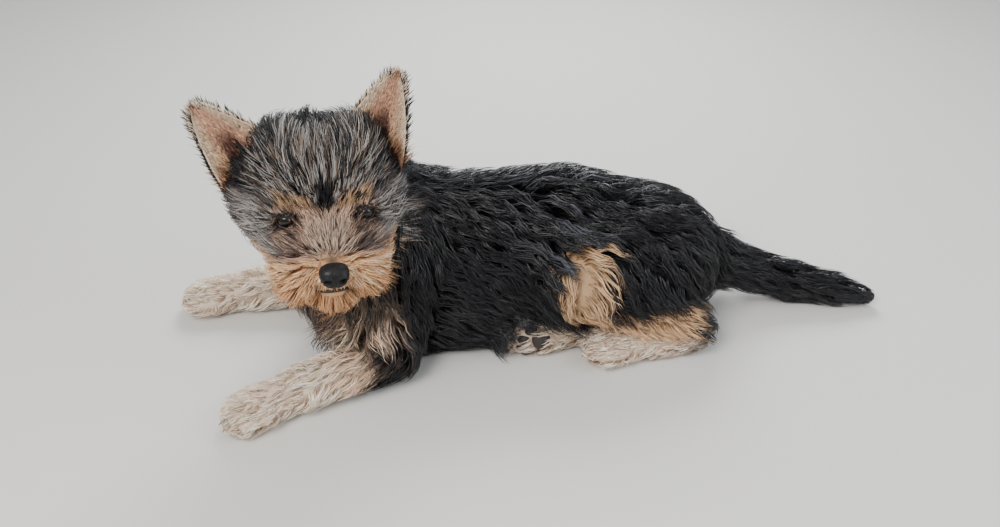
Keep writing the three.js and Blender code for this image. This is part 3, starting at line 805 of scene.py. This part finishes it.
def placeOnUnwrap(p, region):  # a place for each root on the body's unwrap: along each part and around it
    local = toHead(p)
    isHead = (region == 2) | (region == 3)
    along = np.where(isHead, np.arctan2(local[:, 0], local[:, 2]) / (2 * math.pi) + 0.5, (p[:, 0] + 230) / 500)
    angle = np.where(isHead, np.arctan2(local[:, 1], local[:, 0] + 20), np.arctan2(p[:, 1], p[:, 2] - 30))
    column, row = region % 5, region // 5
    u = (column + 0.04 + 0.9 * np.clip(along, 0, 1)) / 5
    v = (row + 0.04 + 0.9 * (angle / (2 * math.pi) + 0.5)) / 4
    return np.stack([u, v], axis=1)


# colour factors from root to tip: painted shade deep in the coat, painted light at the tips
tuft = {"patch": 0.003, "most": 190000, "thick": 0.45, "rootPaintedShade": 0.62, "endPaintedLight": 1.12, "tipPaintedLight": 1.15}


# Flat three-sided tufts along the paths: rings of left, right and ridge points, ending in one tip.
# Width at t is width (1 - t^2.2) (0.55 + 0.45 ease(t, 0, 0.3)). Colours carry painted shade, darker at the root
# deep in the coat, and painted light, brighter towards the tip.
def addTufts(name, path, width, tint, uv, material, outward=None, rootPaintedShade=tuft["rootPaintedShade"]):
    count, rings = path.shape[0], path.shape[1] - 1
    way = unit(np.gradient(path, axis=1))
    if outward is None:
        _, up = near(path.reshape(-1, 3))
        up = up.reshape(path.shape)
    else:
        up = np.broadcast_to(outward[:, None], path.shape)
    side = unit(np.cross(way, up))
    up = np.cross(side, way)
    t = np.linspace(0, 1, rings + 1)
    taper = (1 - t**2.2) * (0.55 + 0.45 * ease(t, 0, 0.3))
    half = (width[:, None] * taper[None])[..., None] / 2
    rim = np.stack([path + side * half, path - side * half, path + up * half * 2 * tuft["thick"]], axis=2)
    points = np.concatenate([rim[:, :rings].reshape(count, rings * 3, 3), path[:, -1:]], axis=1)
    single = []
    for k in range(rings - 1):
        for j in range(3):
            a, b = k * 3 + j, k * 3 + (j + 1) % 3
            single += [[a, b, b + 3], [a, b + 3, a + 3]]
    top = (rings - 1) * 3
    single += [[top + j, top + (j + 1) % 3, top + 3] for j in range(3)] + [[2, 1, 0]]
    single = np.array(single)
    # painted shade and light: each ring's colour darkened near the root and brightened towards the tip
    shade = np.concatenate([np.repeat(mix(rootPaintedShade, tuft["endPaintedLight"], t[:rings]), 3), [tuft["tipPaintedLight"]]])
    colours = tint[:, None] * shade[None, :, None]
    ringUv = np.stack(np.meshgrid(t[:rings], [0, 1, 0.5], indexing="ij"), axis=-1).reshape(-1, 2)
    patch = np.concatenate([ringUv, [[1, 0.5]]]) * tuft["patch"]
    uvs = uv[:, None] + patch[None]
    per = points.shape[1]
    batch = max(1, tuft["most"] // len(single))
    order = np.argsort(path[:, 0, 0], kind="stable")
    for n, start in enumerate(range(0, count, batch)):
        pick = order[start : start + batch]
        faces = (single[None] + (np.arange(len(pick)) * per)[:, None, None]).reshape(-1, 3)
        if n == 0:  # the first tufts tell which way the faces point
            few = points[pick[:200]]
            a, b, c = (few[:, single[:, m]] for m in range(3))
            middle = few.mean(axis=1)[:, None]
            flip = np.einsum("tfi,tfi->", np.cross(b - a, c - a), (a + b + c) / 3 - middle) < 0
        faces = faces[:, ::-1] if flip else faces
        flat = [values[pick].reshape(-1, values.shape[-1]) for values in (points, colours, uvs)]
        addPiece(f"{name}{n + 1}", flat[0], faces, material, flat[1], flat[2])
    print(name, count, "tufts", count * len(single), "triangles")


# Short hairs by themselves: straight along way, arched outward by height sin(turn t)
def archedPath(root, way, long, outward, height, turn):
    path = [root + way * long * t + outward * height * math.sin(t * turn) for t in np.linspace(0, 1, 4)]
    return np.stack(path, axis=1)


# Claws and pads of each foot. Only the right hind foot shows its sole.
paw = {"claw": 7.0, "clawRadius": 1.15, "sole": (0, 0, -1), "turnedSole": (0.1, -0.95, 0.25), "bare": 4.2,
       "toePad": (4.2, 3.1, 2.8), "heelPad": (6.0, 7.0, 3.6)}


def padGrid(middle, way, sole, half):  # a flattened cushion: an ellipsoid by its two angles
    across = unit(np.cross(way, sole))
    polar, turn = roundAngles(12, 18, 0.04)
    shape = [
        (np.sin(polar) * np.cos(turn) * half[0])[..., None] * way,
        (np.sin(polar) * np.sin(turn) * half[1])[..., None] * across,
        (np.cos(polar) * half[2] + 0 * turn)[..., None] * sole,
    ]
    return middle + sum(shape)


def makeFeet():  # a pad under each toe and heel, and from each toe a claw: a tapering tube along a short curve
    claws, pads, places = [], [], []
    for legName, leg in body["legs"].items():
        turned = legName == "hindRight"
        sole = unit(np.array(paw["turnedSole" if turned else "sole"], float))
        digits = toes(leg)
        way = digits[0][1]
        cushions = [(at - way * 1.5, paw["toePad"]) for at, _ in digits]
        cushions.append((np.array(leg[2][1][:3], float) + way * 0.5, paw["heelPad"]))
        for middle, half in cushions:
            depth, _ = near(middle[None])
            at = middle + sole * (0.6 - float(depth[0]) if turned else 1.5)
            pads.append(padGrid(at, way, sole, half))
            if turned:
                places.append(at)
        for at, way in digits:
            start = at + way * 2.4 - sole * 0.6
            path = curve([start, start + way * 3.8 + sole * 0.3, start + way * paw["claw"] + sole * 2.2], 10)
            path[:, 2] = np.maximum(path[:, 2], 1.3)
            claws.append(tube(path, paw["clawRadius"] * (1 - np.linspace(0, 0.97, 10) ** 1.6), 8))
    points, faces = joinGrids(claws)
    addPiece("claws", points, faces, materials["claw"])
    points, faces = joinGrids(pads)
    points[:, 2] = np.maximum(points[:, 2], 0.35)
    addPiece("pads", points, faces, materials["pad"])
    return np.array(places)


padPlaces = makeFeet()


# Roots: random places on the skin, more where the coat is denser
quadA = skinPoints[skinFaces]
faceArea = np.linalg.norm(np.cross(quadA[:, 2] - quadA[:, 0], quadA[:, 3] - quadA[:, 1]), axis=1) / 2
faceMiddle = quadA.mean(axis=1)
faceRegion = regionOf(faceMiddle)


def scatter(weight, amount):  # a random face by area times weight, then a random place between its corners
    share = faceArea * weight
    number = rng.choice(len(skinFaces), amount, p=share / share.sum())
    a, b = rng.uniform(0, 1, (2, amount, 1))
    corners = skinPoints[skinFaces[number]]
    p = mix(mix(corners[:, 0], corners[:, 1], a), mix(corners[:, 3], corners[:, 2], a), b)
    return p, faceRegion[number]


def faceOpen(p):  # 1 on the coat, 0 on the eyes, the nose and the lips
    local = toHead(p)
    clear = np.ones(len(p))
    for side in (1, -1):
        fromEye = local - np.array(body["eyeAt"]) * (1, side, 1) - (0, side * 0.5, -0.3)
        clear *= ease(np.linalg.norm(fromEye / (1.3, 1.15, 0.8), axis=1), 4.6, 5.4)
    fromNose = local - np.array(body["noseAt"])
    clear *= ease(np.linalg.norm(fromNose / (1.5, 1.08, 0.95), axis=1), 6.6, 7.6)
    mouth = np.linalg.norm((local - (50, 0, lips["height"])) / (1, 1.0, 0.2), axis=1)
    return clear * ease(mouth, 8, 10)


lips = {"height": -31.0, "reach": 21, "radius": 0.95, "droop": 0.1}
# some coats set a lighter painted shade at their tuft roots
coats = {
    "torso": dict(amount=15000, length=37, depth=12.5, width=1.0, rings=5, guides=0.055, clump=0.7, wave=0.6,
                  waveLength=21, stand=0.5, frizz=0.75, stray=0.08, material="dark", slot="black_coat"),
    "neck": dict(amount=5600, length=34, depth=14, width=1.0, rings=5, guides=0.06, clump=0.68, wave=0.35,
                 waveLength=20, stand=0.6, frizz=1.3, stray=0.14, material="dark", slot="black_coat"),
    "tail": dict(amount=3000, length=30, depth=9.5, width=0.85, rings=5, guides=0.06, clump=0.6, wave=0.25,
                 waveLength=22, stand=0.5, frizz=1.2, stray=0.1, material="dark", slot="black_coat"),
    "upper": dict(amount=6000, length=28, depth=8.5, width=0.9, rings=5, guides=0.06, clump=0.65, wave=0.45,
                  waveLength=18, stand=0.5, frizz=1.0, stray=0.12, material="dark", slot="black_coat"),
    "lower": dict(amount=6000, length=16, depth=6, width=0.72, rings=3, guides=0.08, clump=0.55, wave=0.2,
                  waveLength=16, stand=0.5, frizz=0.9, stray=0.16, rootPaintedShade=0.8, material="pale",
                  slot="cream_coat"),
    "foot": dict(amount=6200, length=10.5, depth=4, width=0.6, rings=3, guides=0.1, clump=0.45, wave=0.1,
                 waveLength=16, stand=0.5, frizz=0.6, stray=0.18, rootPaintedShade=0.82, material="pale",
                 slot="cream_coat"),
    "head": dict(amount=12500, length=19, depth=9, width=0.6, rings=4, guides=0.08, clump=0.45, wave=0.12,
                 waveLength=20, stand=0.6, frizz=1.0, stray=0.14, material="pale", slot="silver_coat"),
    "face": dict(amount=17000, length=19, depth=9, width=0.42, rings=3, guides=0.1, clump=0.26, wave=0.08,
                 waveLength=20, stand=0.6, frizz=0.7, stray=0.1, rootPaintedShade=0.84, material="pale",
                 slot="tan_coat"),
}


def partOf(region, p):  # the part of the coat that each point bears
    name = np.array(regionNames)[region]
    part = np.full(len(name), "torso", dtype="<U8")
    for key in ("neck", "tail", "head"):
        part[name == key] = key
    part[name == "jaw"] = "head"
    part[(part == "head") & (toHead(p)[:, 0] > 15)] = "face"
    for word in ("Upper", "Lower", "Foot"):
        part[np.char.endswith(name, word)] = word.lower()
    return part


# Length and depth on the head, from a plain value towards others where a mask is 1: short at the bridge and the
# lids, long on crown, cheeks, moustache and beard
def headStyle(p):
    local = toHead(p)
    f, s, u = local.T
    a = np.abs(s)
    size = np.tile([19.0, 10.0], (len(p), 1))

    def toward(values, mask):
        size[:] = mix(size, values, mask[:, None])

    def sized(length, depth):
        return np.stack([np.broadcast_to(length, len(p)), depth], axis=1)

    toward([9.0, 4.0], ease(f, 14, 30) * ease(u, -11, -6))
    crown = mix(11, 22, ease(a, 5, 20)) + 6 * within(s, -3, 1, 9) * within(f, -8, 2, 9)
    toward(sized(27, crown), ease(u, 12, 26))
    toward([25.0, 14.0], ease(a, 20, 30) * ease(-u, -12, 0))
    toward([30.0, 16.0], ease(-f, -10, 2) * ease(-u, 2, 16))
    toward([30.0, 20.0], ease(a, 20, 28) * within(f, -17, 6, 7) * within(u, 8, 12, 8))
    fromNose = np.linalg.norm(local - np.array(body["noseAt"]), axis=1)
    muzzle = ease(f, 12, 24) * ease(-u, 8, 12)
    full = sized(22, mix(11, 18, ease(a, 9, 18) * ease(-u, 20, 32)) + 4 * ease(-u, 34, 40))
    toward(mix([4.5, 1.8], full, ease(fromNose, 7, 27)[:, None]), muzzle)
    toward([7.0, 2.4], 1 - ease(fromNose, 8, 15))
    toward([3.0, 0.9], within(u, -26, 4.5, 2) * within(a, 0, 7, 3) * ease(f, 40, 46))
    fromEye = np.linalg.norm(np.stack([(f - 25) * 0.6, a - 21, (u - 1.5) * 1.2], axis=1), axis=1)
    toward([6.0, 1.8], 1 - ease(fromEye, 6.0, 10))
    return size.T


facePart = partOf(faceRegion, faceMiddle)


def rootWeight(key):  # how densely each face of the skin bears roots of one part of the coat
    weight = (facePart == key) * ease(faceMiddle[:, 2], 0.3, 3)
    if key in ("head", "face"):
        weight = weight * faceOpen(faceMiddle) * (0.35 + 0.65 * ease(toHead(faceMiddle)[:, 0], -34, -20))
    if key == "torso":
        weight = weight * (0.4 + 0.6 * ease(faceMiddle[:, 2], 8, 26))
    return weight


def growCoat(key, base):  # roots, tufts, colours and widths of one part of the coat
    isHead = key in ("head", "face")
    roots, region = scatter(rootWeight(key), base["amount"])
    style = {**base, "guideScale": rng.uniform(0.85, 1.12, len(roots))}
    if key in ("torso", "neck"):  # a fuller ruff at the front of the chest
        ruff = ease(-roots[:, 0], 84, 106) * within(roots[:, 2], 66, 18, 14)
        style.update(depth=mix(style["depth"], growth["ruff"], ruff))
    if key == "tail":
        thin = ease(roots[:, 0], 185, 250)
        style.update(length=mix(style["length"], 26, thin), depth=mix(style["depth"], 3.5, thin))
    keep = np.ones(len(roots), bool)
    if key == "foot":
        keep = np.linalg.norm(roots[:, None] - padPlaces[None], axis=-1).min(axis=1) > paw["bare"]
    if isHead:
        style["length"], style["depth"] = headStyle(roots)
        keep = rng.uniform(0, 1, len(roots)) < faceOpen(roots)
    roots, region = roots[keep], region[keep]
    style = picked(style, keep)
    path, guide = growTufts(roots, np.array(regionNames)[region], style)
    if isHead or key == "neck":  # kinked tufts, in the crease between head and neck, are left out
        step = unit(np.diff(path[:, 1:], axis=1))
        smooth = np.sum(step[:, 1:] * step[:, :-1], axis=-1).min(axis=1) > growth["straight"]
        path, guide, roots, region = path[smooth], guide[smooth], roots[smooth], region[smooth]
    dice = rng.uniform(0, 1, len(roots))
    lockDice = rng.uniform(0, 1, base["amount"])[guide]
    shown = (path[:, 1] + path[:, 2]) / 2 if isHead else roots  # long hair is coloured for where it is seen
    tint = markings(shown, region, mix(dice, lockDice, 0.4 if isHead else 0.55))
    shade = rng.normal(0, growth["shade"], (len(roots), 1)) + growth["lockShade"] * (lockDice[:, None] - 0.5)
    width = base["width"] * rng.uniform(0.7, 1.25, len(roots))
    uv = placeOnUnwrap(roots, region)
    # painted shade at the tuft roots: the coat's own or the common one
    rootPaintedShade = base.get("rootPaintedShade", tuft["rootPaintedShade"])
    material = materials[base["material"]]
    addTufts(key + "Coat", path, width, tint * np.exp(shade), uv, material, rootPaintedShade=rootPaintedShade)


for coatName, coatBase in coats.items():
    growCoat(coatName, coatBase)


# Ears: a cupped shell with a fold near its outer edge, short hair inside and longer hair behind
ear = {
    "width": 42,
    "cup": 11,
    "wall": 1.8,
    "turn": 0.34,
    "fold": 2.6,
    "rim": 2.2,
    "bend": 5.0,
    "bases": {"left": (-9, 28, 14), "right": (-9, -33, 12)},
    "tips": {"left": (-60, -15, 187), "right": (-171, -24, 179)},
    "rows": 26,
    "columns": 25,
}
earTones = {
    "flesh": rgb(222, 170, 146),
    "hair": rgb(226, 186, 152),
    "cream": rgb(244, 218, 190),
    # dark brown of the painted shade in the ear's hollow
    "hollow": rgb(84, 52, 46),
}


def earFrame(side):  # base, up the ear, across it, the way it faces, and its length
    name = "left" if side > 0 else "right"
    base = fromHead(ear["bases"][name])
    tip = np.array(ear["tips"][name], float)
    up = unit(tip - base)
    out = unit(np.cross(up, unit(np.array([-ear["turn"] * side, -1, 0.1]))))
    return base, up, out, np.cross(out, up), np.linalg.norm(tip - base)


# u runs from base to tip, s from edge to edge. Half width (1-u^2)^0.7 (1-0.35u), depth -cup (1-0.75u) (1-s^2).
def earPoint(side, u, s, wall):
    base, up, out, front, length = earFrame(side)
    u, s = np.broadcast_arrays(u, s)
    full = np.clip(u, 0, 1)
    half = ear["width"] / 2 * np.maximum(0.07, (1 - full**2) ** 0.7 * (1 - 0.35 * full))
    depth = -ear["cup"] * (1 - 0.75 * u) * (1 - s * s) + wall * (1 - 0.55 * s * s) * (1 - 0.4 * u)
    outer = s * side  # the fold stands forward between the hollow and the outer edge
    depth = depth + ear["fold"] * np.exp(-(((outer - 0.45) / 0.16) ** 2)) * (1 - full) * ease(u, -0.05, 0.15)
    depth = depth + ear["rim"] * ease(np.abs(s), 0.8, 1.0) * (1 - full)
    bend = -ear["bend"] * full * (1 - full)
    return base + (u * length)[..., None] * up + (s * half)[..., None] * out + (depth + bend)[..., None] * front


# A shell closed between the front and back walls of earPoint, with hair on both and along the edges
def makeEar(side):
    name = ("left" if side > 0 else "right").title()
    rows, columns = ear["rows"], ear["columns"]
    u = np.linspace(-0.1, 1, rows)[:, None]
    s = np.linspace(-1, 1, columns)[None]
    faceTwo = earPoint(side, u, s[:, ::-1], -ear["wall"])
    points, faces = closedGrid(np.concatenate([earPoint(side, u, s, 0), faceTwo], axis=1))
    _, up, out, front, _ = earFrame(side)

    def innerTone(u, s, dice):
        tone = mix(earTones["hair"], earTones["cream"], ease(np.abs(s) + 0.3 * u, 0.45, 1.0)[:, None])
        tone = mix(tone, earTones["flesh"], (within(s * side, -0.1, 0.3, 0.3) * 0.6)[:, None])
        # painted shade: the ear's hollow darkened near its base, deep in the cup
        hollow = within(s * side, 0.12 - 0.3 * u, 0.16, 0.2) * (1 - ease(u, 0.32, 0.62))
        tone = mix(tone, earTones["hollow"], (hollow * 0.9)[:, None])
        low = (1 - ease(u, 0.1, 0.26)) * ease(s * side, 0.3, 0.6)
        tone = mix(tone, tones["rust"], (low * 0.85)[:, None])
        return mix(tone, tones["charcoal"], ((u > 0.86) * (dice > 0.55) * 0.8)[:, None])

    def backTone(u, s, dice):
        return np.tile(tones["black"] * 1.4, (len(u), 1))

    grow = np.repeat(u, 2 * columns, axis=1).ravel()
    across = np.tile(np.concatenate([s[0], s[0, ::-1]]), rows)
    isBack = np.tile(np.arange(2 * columns) >= columns, rows)
    inner = innerTone(grow, across, np.zeros(len(grow))) * 0.85
    tint = np.where(isBack[:, None], backTone(grow, across, 0), inner)
    tint = np.concatenate([tint, tint[:1], tint[-1:]])
    shell = addPiece("ear" + name, points, faces, materials["skin"], tint)
    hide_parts("ear_" + name.lower())

    def hairs(label, cell, count, uRange, sRange, wall, length, direction, tone, width, height):
        u, s = rng.uniform(*uRange, count), rng.uniform(*sRange, count)
        root = earPoint(side, u, s, wall)
        outward = -front if wall < -1 else front
        way = unit(direction(s) + rng.normal(0, 0.16, (count, 3)))
        long = (rng.uniform(0.65, 1.15, count) * length)[:, None]
        path = archedPath(root, way, long, outward, height, 2.2)
        tint = tone(u, s, rng.uniform(0, 1, count)) * np.exp(rng.normal(0, 0.2, (count, 1)))
        column = cell + 4 * (side < 0)
        uv = np.stack([0.41 + 0.07 * column + 0.06 * np.clip(u, 0, 1), 0.78 + 0.1 * (s + 1)], axis=1)
        spread = np.full(count, width) * rng.uniform(0.7, 1.2, count)
        facing = np.tile(outward, (count, 1))
        addTufts(label + name, path, spread, tint, uv, materials["pale"], facing)

    def edgeTone(u, s, dice):
        outer = (s * side > 0) | (dice > 0.55)
        return np.where(outer[:, None], tones["black"] * 1.6, earTones["cream"])

    def fan(spread, lean=0.0):
        return lambda s: up + (s * spread)[:, None] * out + front * lean

    hairs("earInner", 0, 3600, (0.02, 0.95), (-0.95, 0.95), 0, 5.5, fan(0.22), innerTone, 0.46, 1.0)
    hairs("earBack", 1, 1300, (-0.05, 0.9), (-0.94, 0.94), -ear["wall"], 8.0, fan(0.3), backTone, 0.7, 1.3)
    for edge in (-1, 1):
        place = (edge * 0.99 - 0.03, edge * 0.99 + 0.03)
        label = "earEdgeOuter" if edge == side else "earEdgeInner"
        hairs(label, 2, 620, (0.0, 0.97), place, -0.8, 3.4, fan(0.2), edgeTone, 0.42, 0.1)
    hairs("earFringe", 3, 320, (-0.02, 0.2), (-0.9, 0.9), 0, 14.0, fan(0.5, 0.3), innerTone, 0.55, 1.5)


for side in (1, -1):
    makeEar(side)
print("ears made")


# Eyes: a ball with a raised clear front, a dark iris and a rolled lid
eye = {
    "look": (0.93, 0.24, 0.1),
    "cornea": 0.7,
    "opening": (0.66, 0.5),
    # the lid's profile as (angle past the opening, height over the ball), from the inner edge to the back
    "lid": [(0.02, -0.25), (0.0, 0.25), (0.03, 0.62), (0.12, 0.8),
            (0.5, 0.7), (0.95, 0.2), (0.95, -0.3), (0.4, -0.3)],
}


def aroundAxis(axis):  # the axis, one side of it and up
    axis = unit(np.array(axis, float))
    side = unit(np.cross([0, 0, 1.0], axis))
    return axis, side, np.cross(axis, side)


def onBall(middle, radius, polar, turn, axes):  # middle + radius (cos(polar) axis + sin(polar) ring(turn))
    axis, across, up = axes
    ring = np.cos(turn)[..., None] * across + np.sin(turn)[..., None] * up
    way = np.cos(polar)[..., None] * axis + np.sin(polar)[..., None] * ring
    return middle + np.asarray(radius)[..., None] * way


# The lid is its profile carried round the opening, an ellipse in polar angle that is drawn out at its corners
def makeEye(side):
    name = "left" if side > 0 else "right"
    middle = fromHead(np.array(body["eyeAt"]) * (1, side, 1))
    axes = aroundAxis(np.array(eye["look"]) * (1, side, 1) @ headTurn.T)
    polar, turn = roundAngles(40, 48, 0.02)
    bulge = eye["cornea"] * (1 - ease(polar, 0.3, 0.75))
    every, faces = closedGrid(onBall(middle, body["eyeRadius"] + bulge + 0 * turn, polar, turn, axes))
    angle = np.arccos(np.clip(unit(every - middle) @ axes[0], -1, 1))
    pupil, iris, white = rgb(6, 5, 5), rgb(48, 27, 17), rgb(110, 92, 82)
    tint = mix(pupil, iris, ease(angle, 0.32, 0.42)[:, None])
    tint = mix(tint, rgb(14, 9, 8), ease(angle, 0.66, 0.78)[:, None])
    tint = mix(tint, white, ease(angle, 0.95, 1.1)[:, None])
    ball = addPiece("eye" + name.title(), every, faces, materials["eye"], tint)
    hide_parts("eye_" + name)
    a = np.linspace(0, 2 * math.pi, 56, endpoint=False)
    wide, high = eye["opening"]
    edge = 1 / np.sqrt((np.cos(a) / wide) ** 2 + (np.sin(a) / high) ** 2)
    edge = edge + 0.1 * np.abs(np.cos(a)) ** 8 - 0.08 * (np.sin(a) > 0) * np.sin(a)
    lid = [onBall(middle, body["eyeRadius"] + height, edge + reach, a, axes) for reach, height in eye["lid"]]
    points = np.stack(lid, axis=1).reshape(-1, 3)
    lidFaces = gridFaces(len(a) + 1, len(lid)) % len(points)
    addPiece("lids" + name.title(), points, turnedOut(points, lidFaces, middle), materials["lid"])


for side in (1, -1):
    makeEye(side)

# Short dark hair over the rim of each eye: rows all round, the upper ones hanging over the ball
lash = {"count": 170, "length": (2.6, 5.0), "upper": 0.62}


def makeLashes(side):  # roots on an ellipse round the eye, brought onto the skin, pointing away and downward
    count = lash["count"]
    middle = np.array(body["eyeAt"]) * (1, side, 1)
    over = rng.uniform(0, 1, count) < lash["upper"]
    angle = np.where(over, rng.uniform(0.1, 0.9, count), rng.uniform(0.95, 2.05, count)) * math.pi
    spread = rng.uniform(1.05, 1.35, count)
    start = np.stack([0 * angle, np.cos(angle) * 6.2 * spread, np.sin(angle) * 4.9 * spread + 0.4], axis=1)
    root = fromHead(start + middle + (5, 0, 0))
    for _ in range(20):
        depth, outward = near(root)
        root = root - outward * depth[:, None] * 0.8
    up = np.sin(angle) > 0.15
    out = np.stack([0 * angle, np.cos(angle), np.sin(angle)], axis=1)
    way = out + np.where(up[:, None], np.array([1.0, side * 0.5, -0.75]), np.array([0.1, side * 0.3, 0]))
    way = unit(way + rng.normal(0, 0.18, (count, 3))) @ headTurn.T
    long = rng.uniform(*lash["length"], count)[:, None]
    path = archedPath(root, way, long, near(root)[1], 1.5, 2.4)
    tint = markings(root, np.full(count, 2), rng.uniform(0, 1, count)) * 0.9
    tint = mix(tint, tones["black"], (rng.uniform(0, 1, (count, 1)) > 0.45) * 0.8)
    name = "lashes" + ("Left" if side > 0 else "Right")
    uv = placeOnUnwrap(root, np.full(count, 2))
    addTufts(name, path, np.full(count, 0.42), tint, uv, materials["pale"])


for side in (1, -1):
    makeLashes(side)
print("eyes made")


# Nose: a rounded pad, wider above, with comma-shaped nostrils and a groove down the middle
nose = {"half": (6.6, 7.9, 6.3), "power": 2.5, "nostril": (3.9, -0.6), "deep": 2.6, "slit": 1.6, "rim": 0.45,
        "groove": 0.7}


# A ball whose f, s and u to the power sum to 1, narrower below. Each nostril is a pit and a slit with a rim.
def makeNose():
    polar, turn = roundAngles(90, 110, 0.01)
    f = np.cos(polar) + 0 * turn
    s = np.sin(polar) * np.cos(turn)
    u = np.sin(polar) * np.sin(turn)
    power = nose["power"]
    out = (np.abs(f) ** power + np.abs(s) ** power + np.abs(u) ** power) ** (-1 / power)
    f, s, u = f * out, s * out, u * out
    half = nose["half"]
    wide = half[1] * (1 + 0.1 * u - 0.16 * (u < -0.2) * (-0.2 - u))
    local = np.stack([f * half[0] * (1 - 0.1 * u), s * wide, u * half[2]], axis=-1)
    x, y = local[..., 1], local[..., 2]
    front = ease(f, 0.1, 0.5)
    for side in (1, -1):
        dx, dy = x - side * nose["nostril"][0], y - nose["nostril"][1]
        hole = np.exp(-((dx / 1.7) ** 2 + (dy / 1.45) ** 2) ** 1.5)
        slit = np.exp(-(((dx - side * 2.3) / 2.0) ** 2 + ((dy + 0.9 + 0.3 * side * dx) / 0.7) ** 2))
        local[..., 0] -= front * (hole * nose["deep"] + slit * nose["slit"])
        rim = np.exp(-(((np.hypot(dx / 2.9, dy / 2.5) - 1) / 0.35) ** 2))
        local[..., 0] += front * rim * nose["rim"]
    local[..., 0] -= front * nose["groove"] * np.exp(-((x / 0.55) ** 2)) * ease(-y, -2.0, 1.5)
    points, faces = closedGrid(local + np.array(body["noseAt"]))
    made = addPiece("nosePad", fromHead(points), faces, materials["nose"])
    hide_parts("nose")


makeNose()


# Lips: a dark seam along the mouth, found on the skin by walking out from inside the muzzle
def makeLips():  # a thin tube along the seam and another down the groove under the nose
    angles = np.radians(np.linspace(-lips["reach"], lips["reach"], 60))
    way = np.stack([np.cos(angles), np.sin(angles), -lips["droop"] * np.linspace(-1, 1, 60) ** 2], axis=1)
    reach = np.full(len(angles), 20.0)
    for _ in range(25):
        depth, _ = near(fromHead((20, 0, lips["height"]) + way * reach[:, None]))
        reach -= depth * 0.8
    path = fromHead((20, 0, lips["height"]) + way * (reach + 0.35)[:, None])
    radii = lips["radius"] * np.cos(np.linspace(-1.4, 1.4, 60)) ** 0.4
    middle = toHead(path[30:31])[0]
    groove = curve([(55.5, 0, -21), (54, 0, -24), middle], 16)
    points, faces = joinGrids([tube(path, radii), tube(fromHead(groove), np.full(16, 0.55))])
    addPiece("lips", points, faces, materials["lid"])


makeLips()


# Whiskers: few, long and thin
whiskers = {"count": 5, "length": (24, 38), "radius": 0.12, "sag": 0.16}


def makeWhiskers():
    grids = []
    for side in (1, -1):
        for _ in range(whiskers["count"]):
            root = np.array([rng.uniform(36, 46), side * rng.uniform(12, 15), rng.uniform(-19, -12)])
            way = unit(np.array([rng.uniform(-0.2, 0.5), side, rng.uniform(-0.35, 0.25)]))
            long = rng.uniform(*whiskers["length"])
            sag = np.array([0, 0, -long * whiskers["sag"]])
            path = curve([root, root + way * long * 0.5, root + way * long + sag], 9)
            grids.append(tube(fromHead(path), whiskers["radius"] * (1 - np.linspace(0, 0.9, 9)), 5))
    points, faces = joinGrids(grids)
    addPiece("whiskers", points, faces, materials["whisker"])


makeWhiskers()
print("face and feet made")


# Floor, light and camera
studio = {
    "target": (0, 0, 45),
    "distance": 665,
    "azimuth": -10,
    "elevation": 33,
    "lens": 37.08,
    "floor": rgb(214, 212, 208),
    "world": 0.55,
    "lights": [
        # name, place, size, power, colour
        ("key", (-420, -520, 760), 420, 9.0, (1.0, 0.975, 0.94)),
        ("fill", (620, -420, 420), 500, 3.2, (0.92, 0.96, 1.0)),
        ("back", (160, 620, 640), 420, 8.0, (0.95, 0.98, 1.0)),
    ],
}


def aim(made, place, target):
    made.location = Vector(place) * mm
    made.rotation_euler = (Vector(target) - Vector(place)).to_track_quat("-Z", "Y").to_euler()
    bpy.context.collection.objects.link(made)


def makeStudio():
    mesh = bpy.data.meshes.new("floor")
    half = 3.0
    corners = [(-half, -half, 0), (half, -half, 0), (half, half, 0), (-half, half, 0)]
    mesh.from_pydata(corners, [], [(0, 1, 2, 3)])
    floorPiece = bpy.data.objects.new("floor", mesh)
    bpy.context.collection.objects.link(floorPiece)
    mesh.materials.append(plainMaterial("paleFloor", studio["floor"] * 0.97, studio["floor"], 3, 0.75, 0.01))
    floorPiece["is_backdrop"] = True
    for name, place, size, power, colour in studio["lights"]:
        data = bpy.data.lights.new(name, "AREA")
        data.size, data.energy, data.color = size * mm, power, colour
        aim(bpy.data.objects.new(name, data), place, studio["target"])
    world = bpy.data.worlds.new("studio")
    world.use_nodes = True
    world.node_tree.nodes["Background"].inputs["Color"].default_value = (0.93, 0.96, 1.0, 1)
    world.node_tree.nodes["Background"].inputs["Strength"].default_value = studio["world"]
    bpy.context.scene.world = world
    data = bpy.data.cameras.new("camera")
    data.lens, data.sensor_width, data.clip_start, data.clip_end = studio["lens"], 36, 0.01, 20
    turn, lift = math.radians(studio["azimuth"]), math.radians(studio["elevation"])
    back = Vector((math.sin(turn) * math.cos(lift), -math.cos(turn) * math.cos(lift), math.sin(lift)))
    camera = bpy.data.objects.new("camera", data)
    aim(camera, Vector(studio["target"]) + back * studio["distance"], studio["target"])
    bpy.context.scene.camera = camera


makeStudio()
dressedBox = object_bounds()
for label, box in (("cad", cadBox), ("visual", dressedBox)):
    print(label, [tuple(round(v, 4) for v in corner) for corner in box])
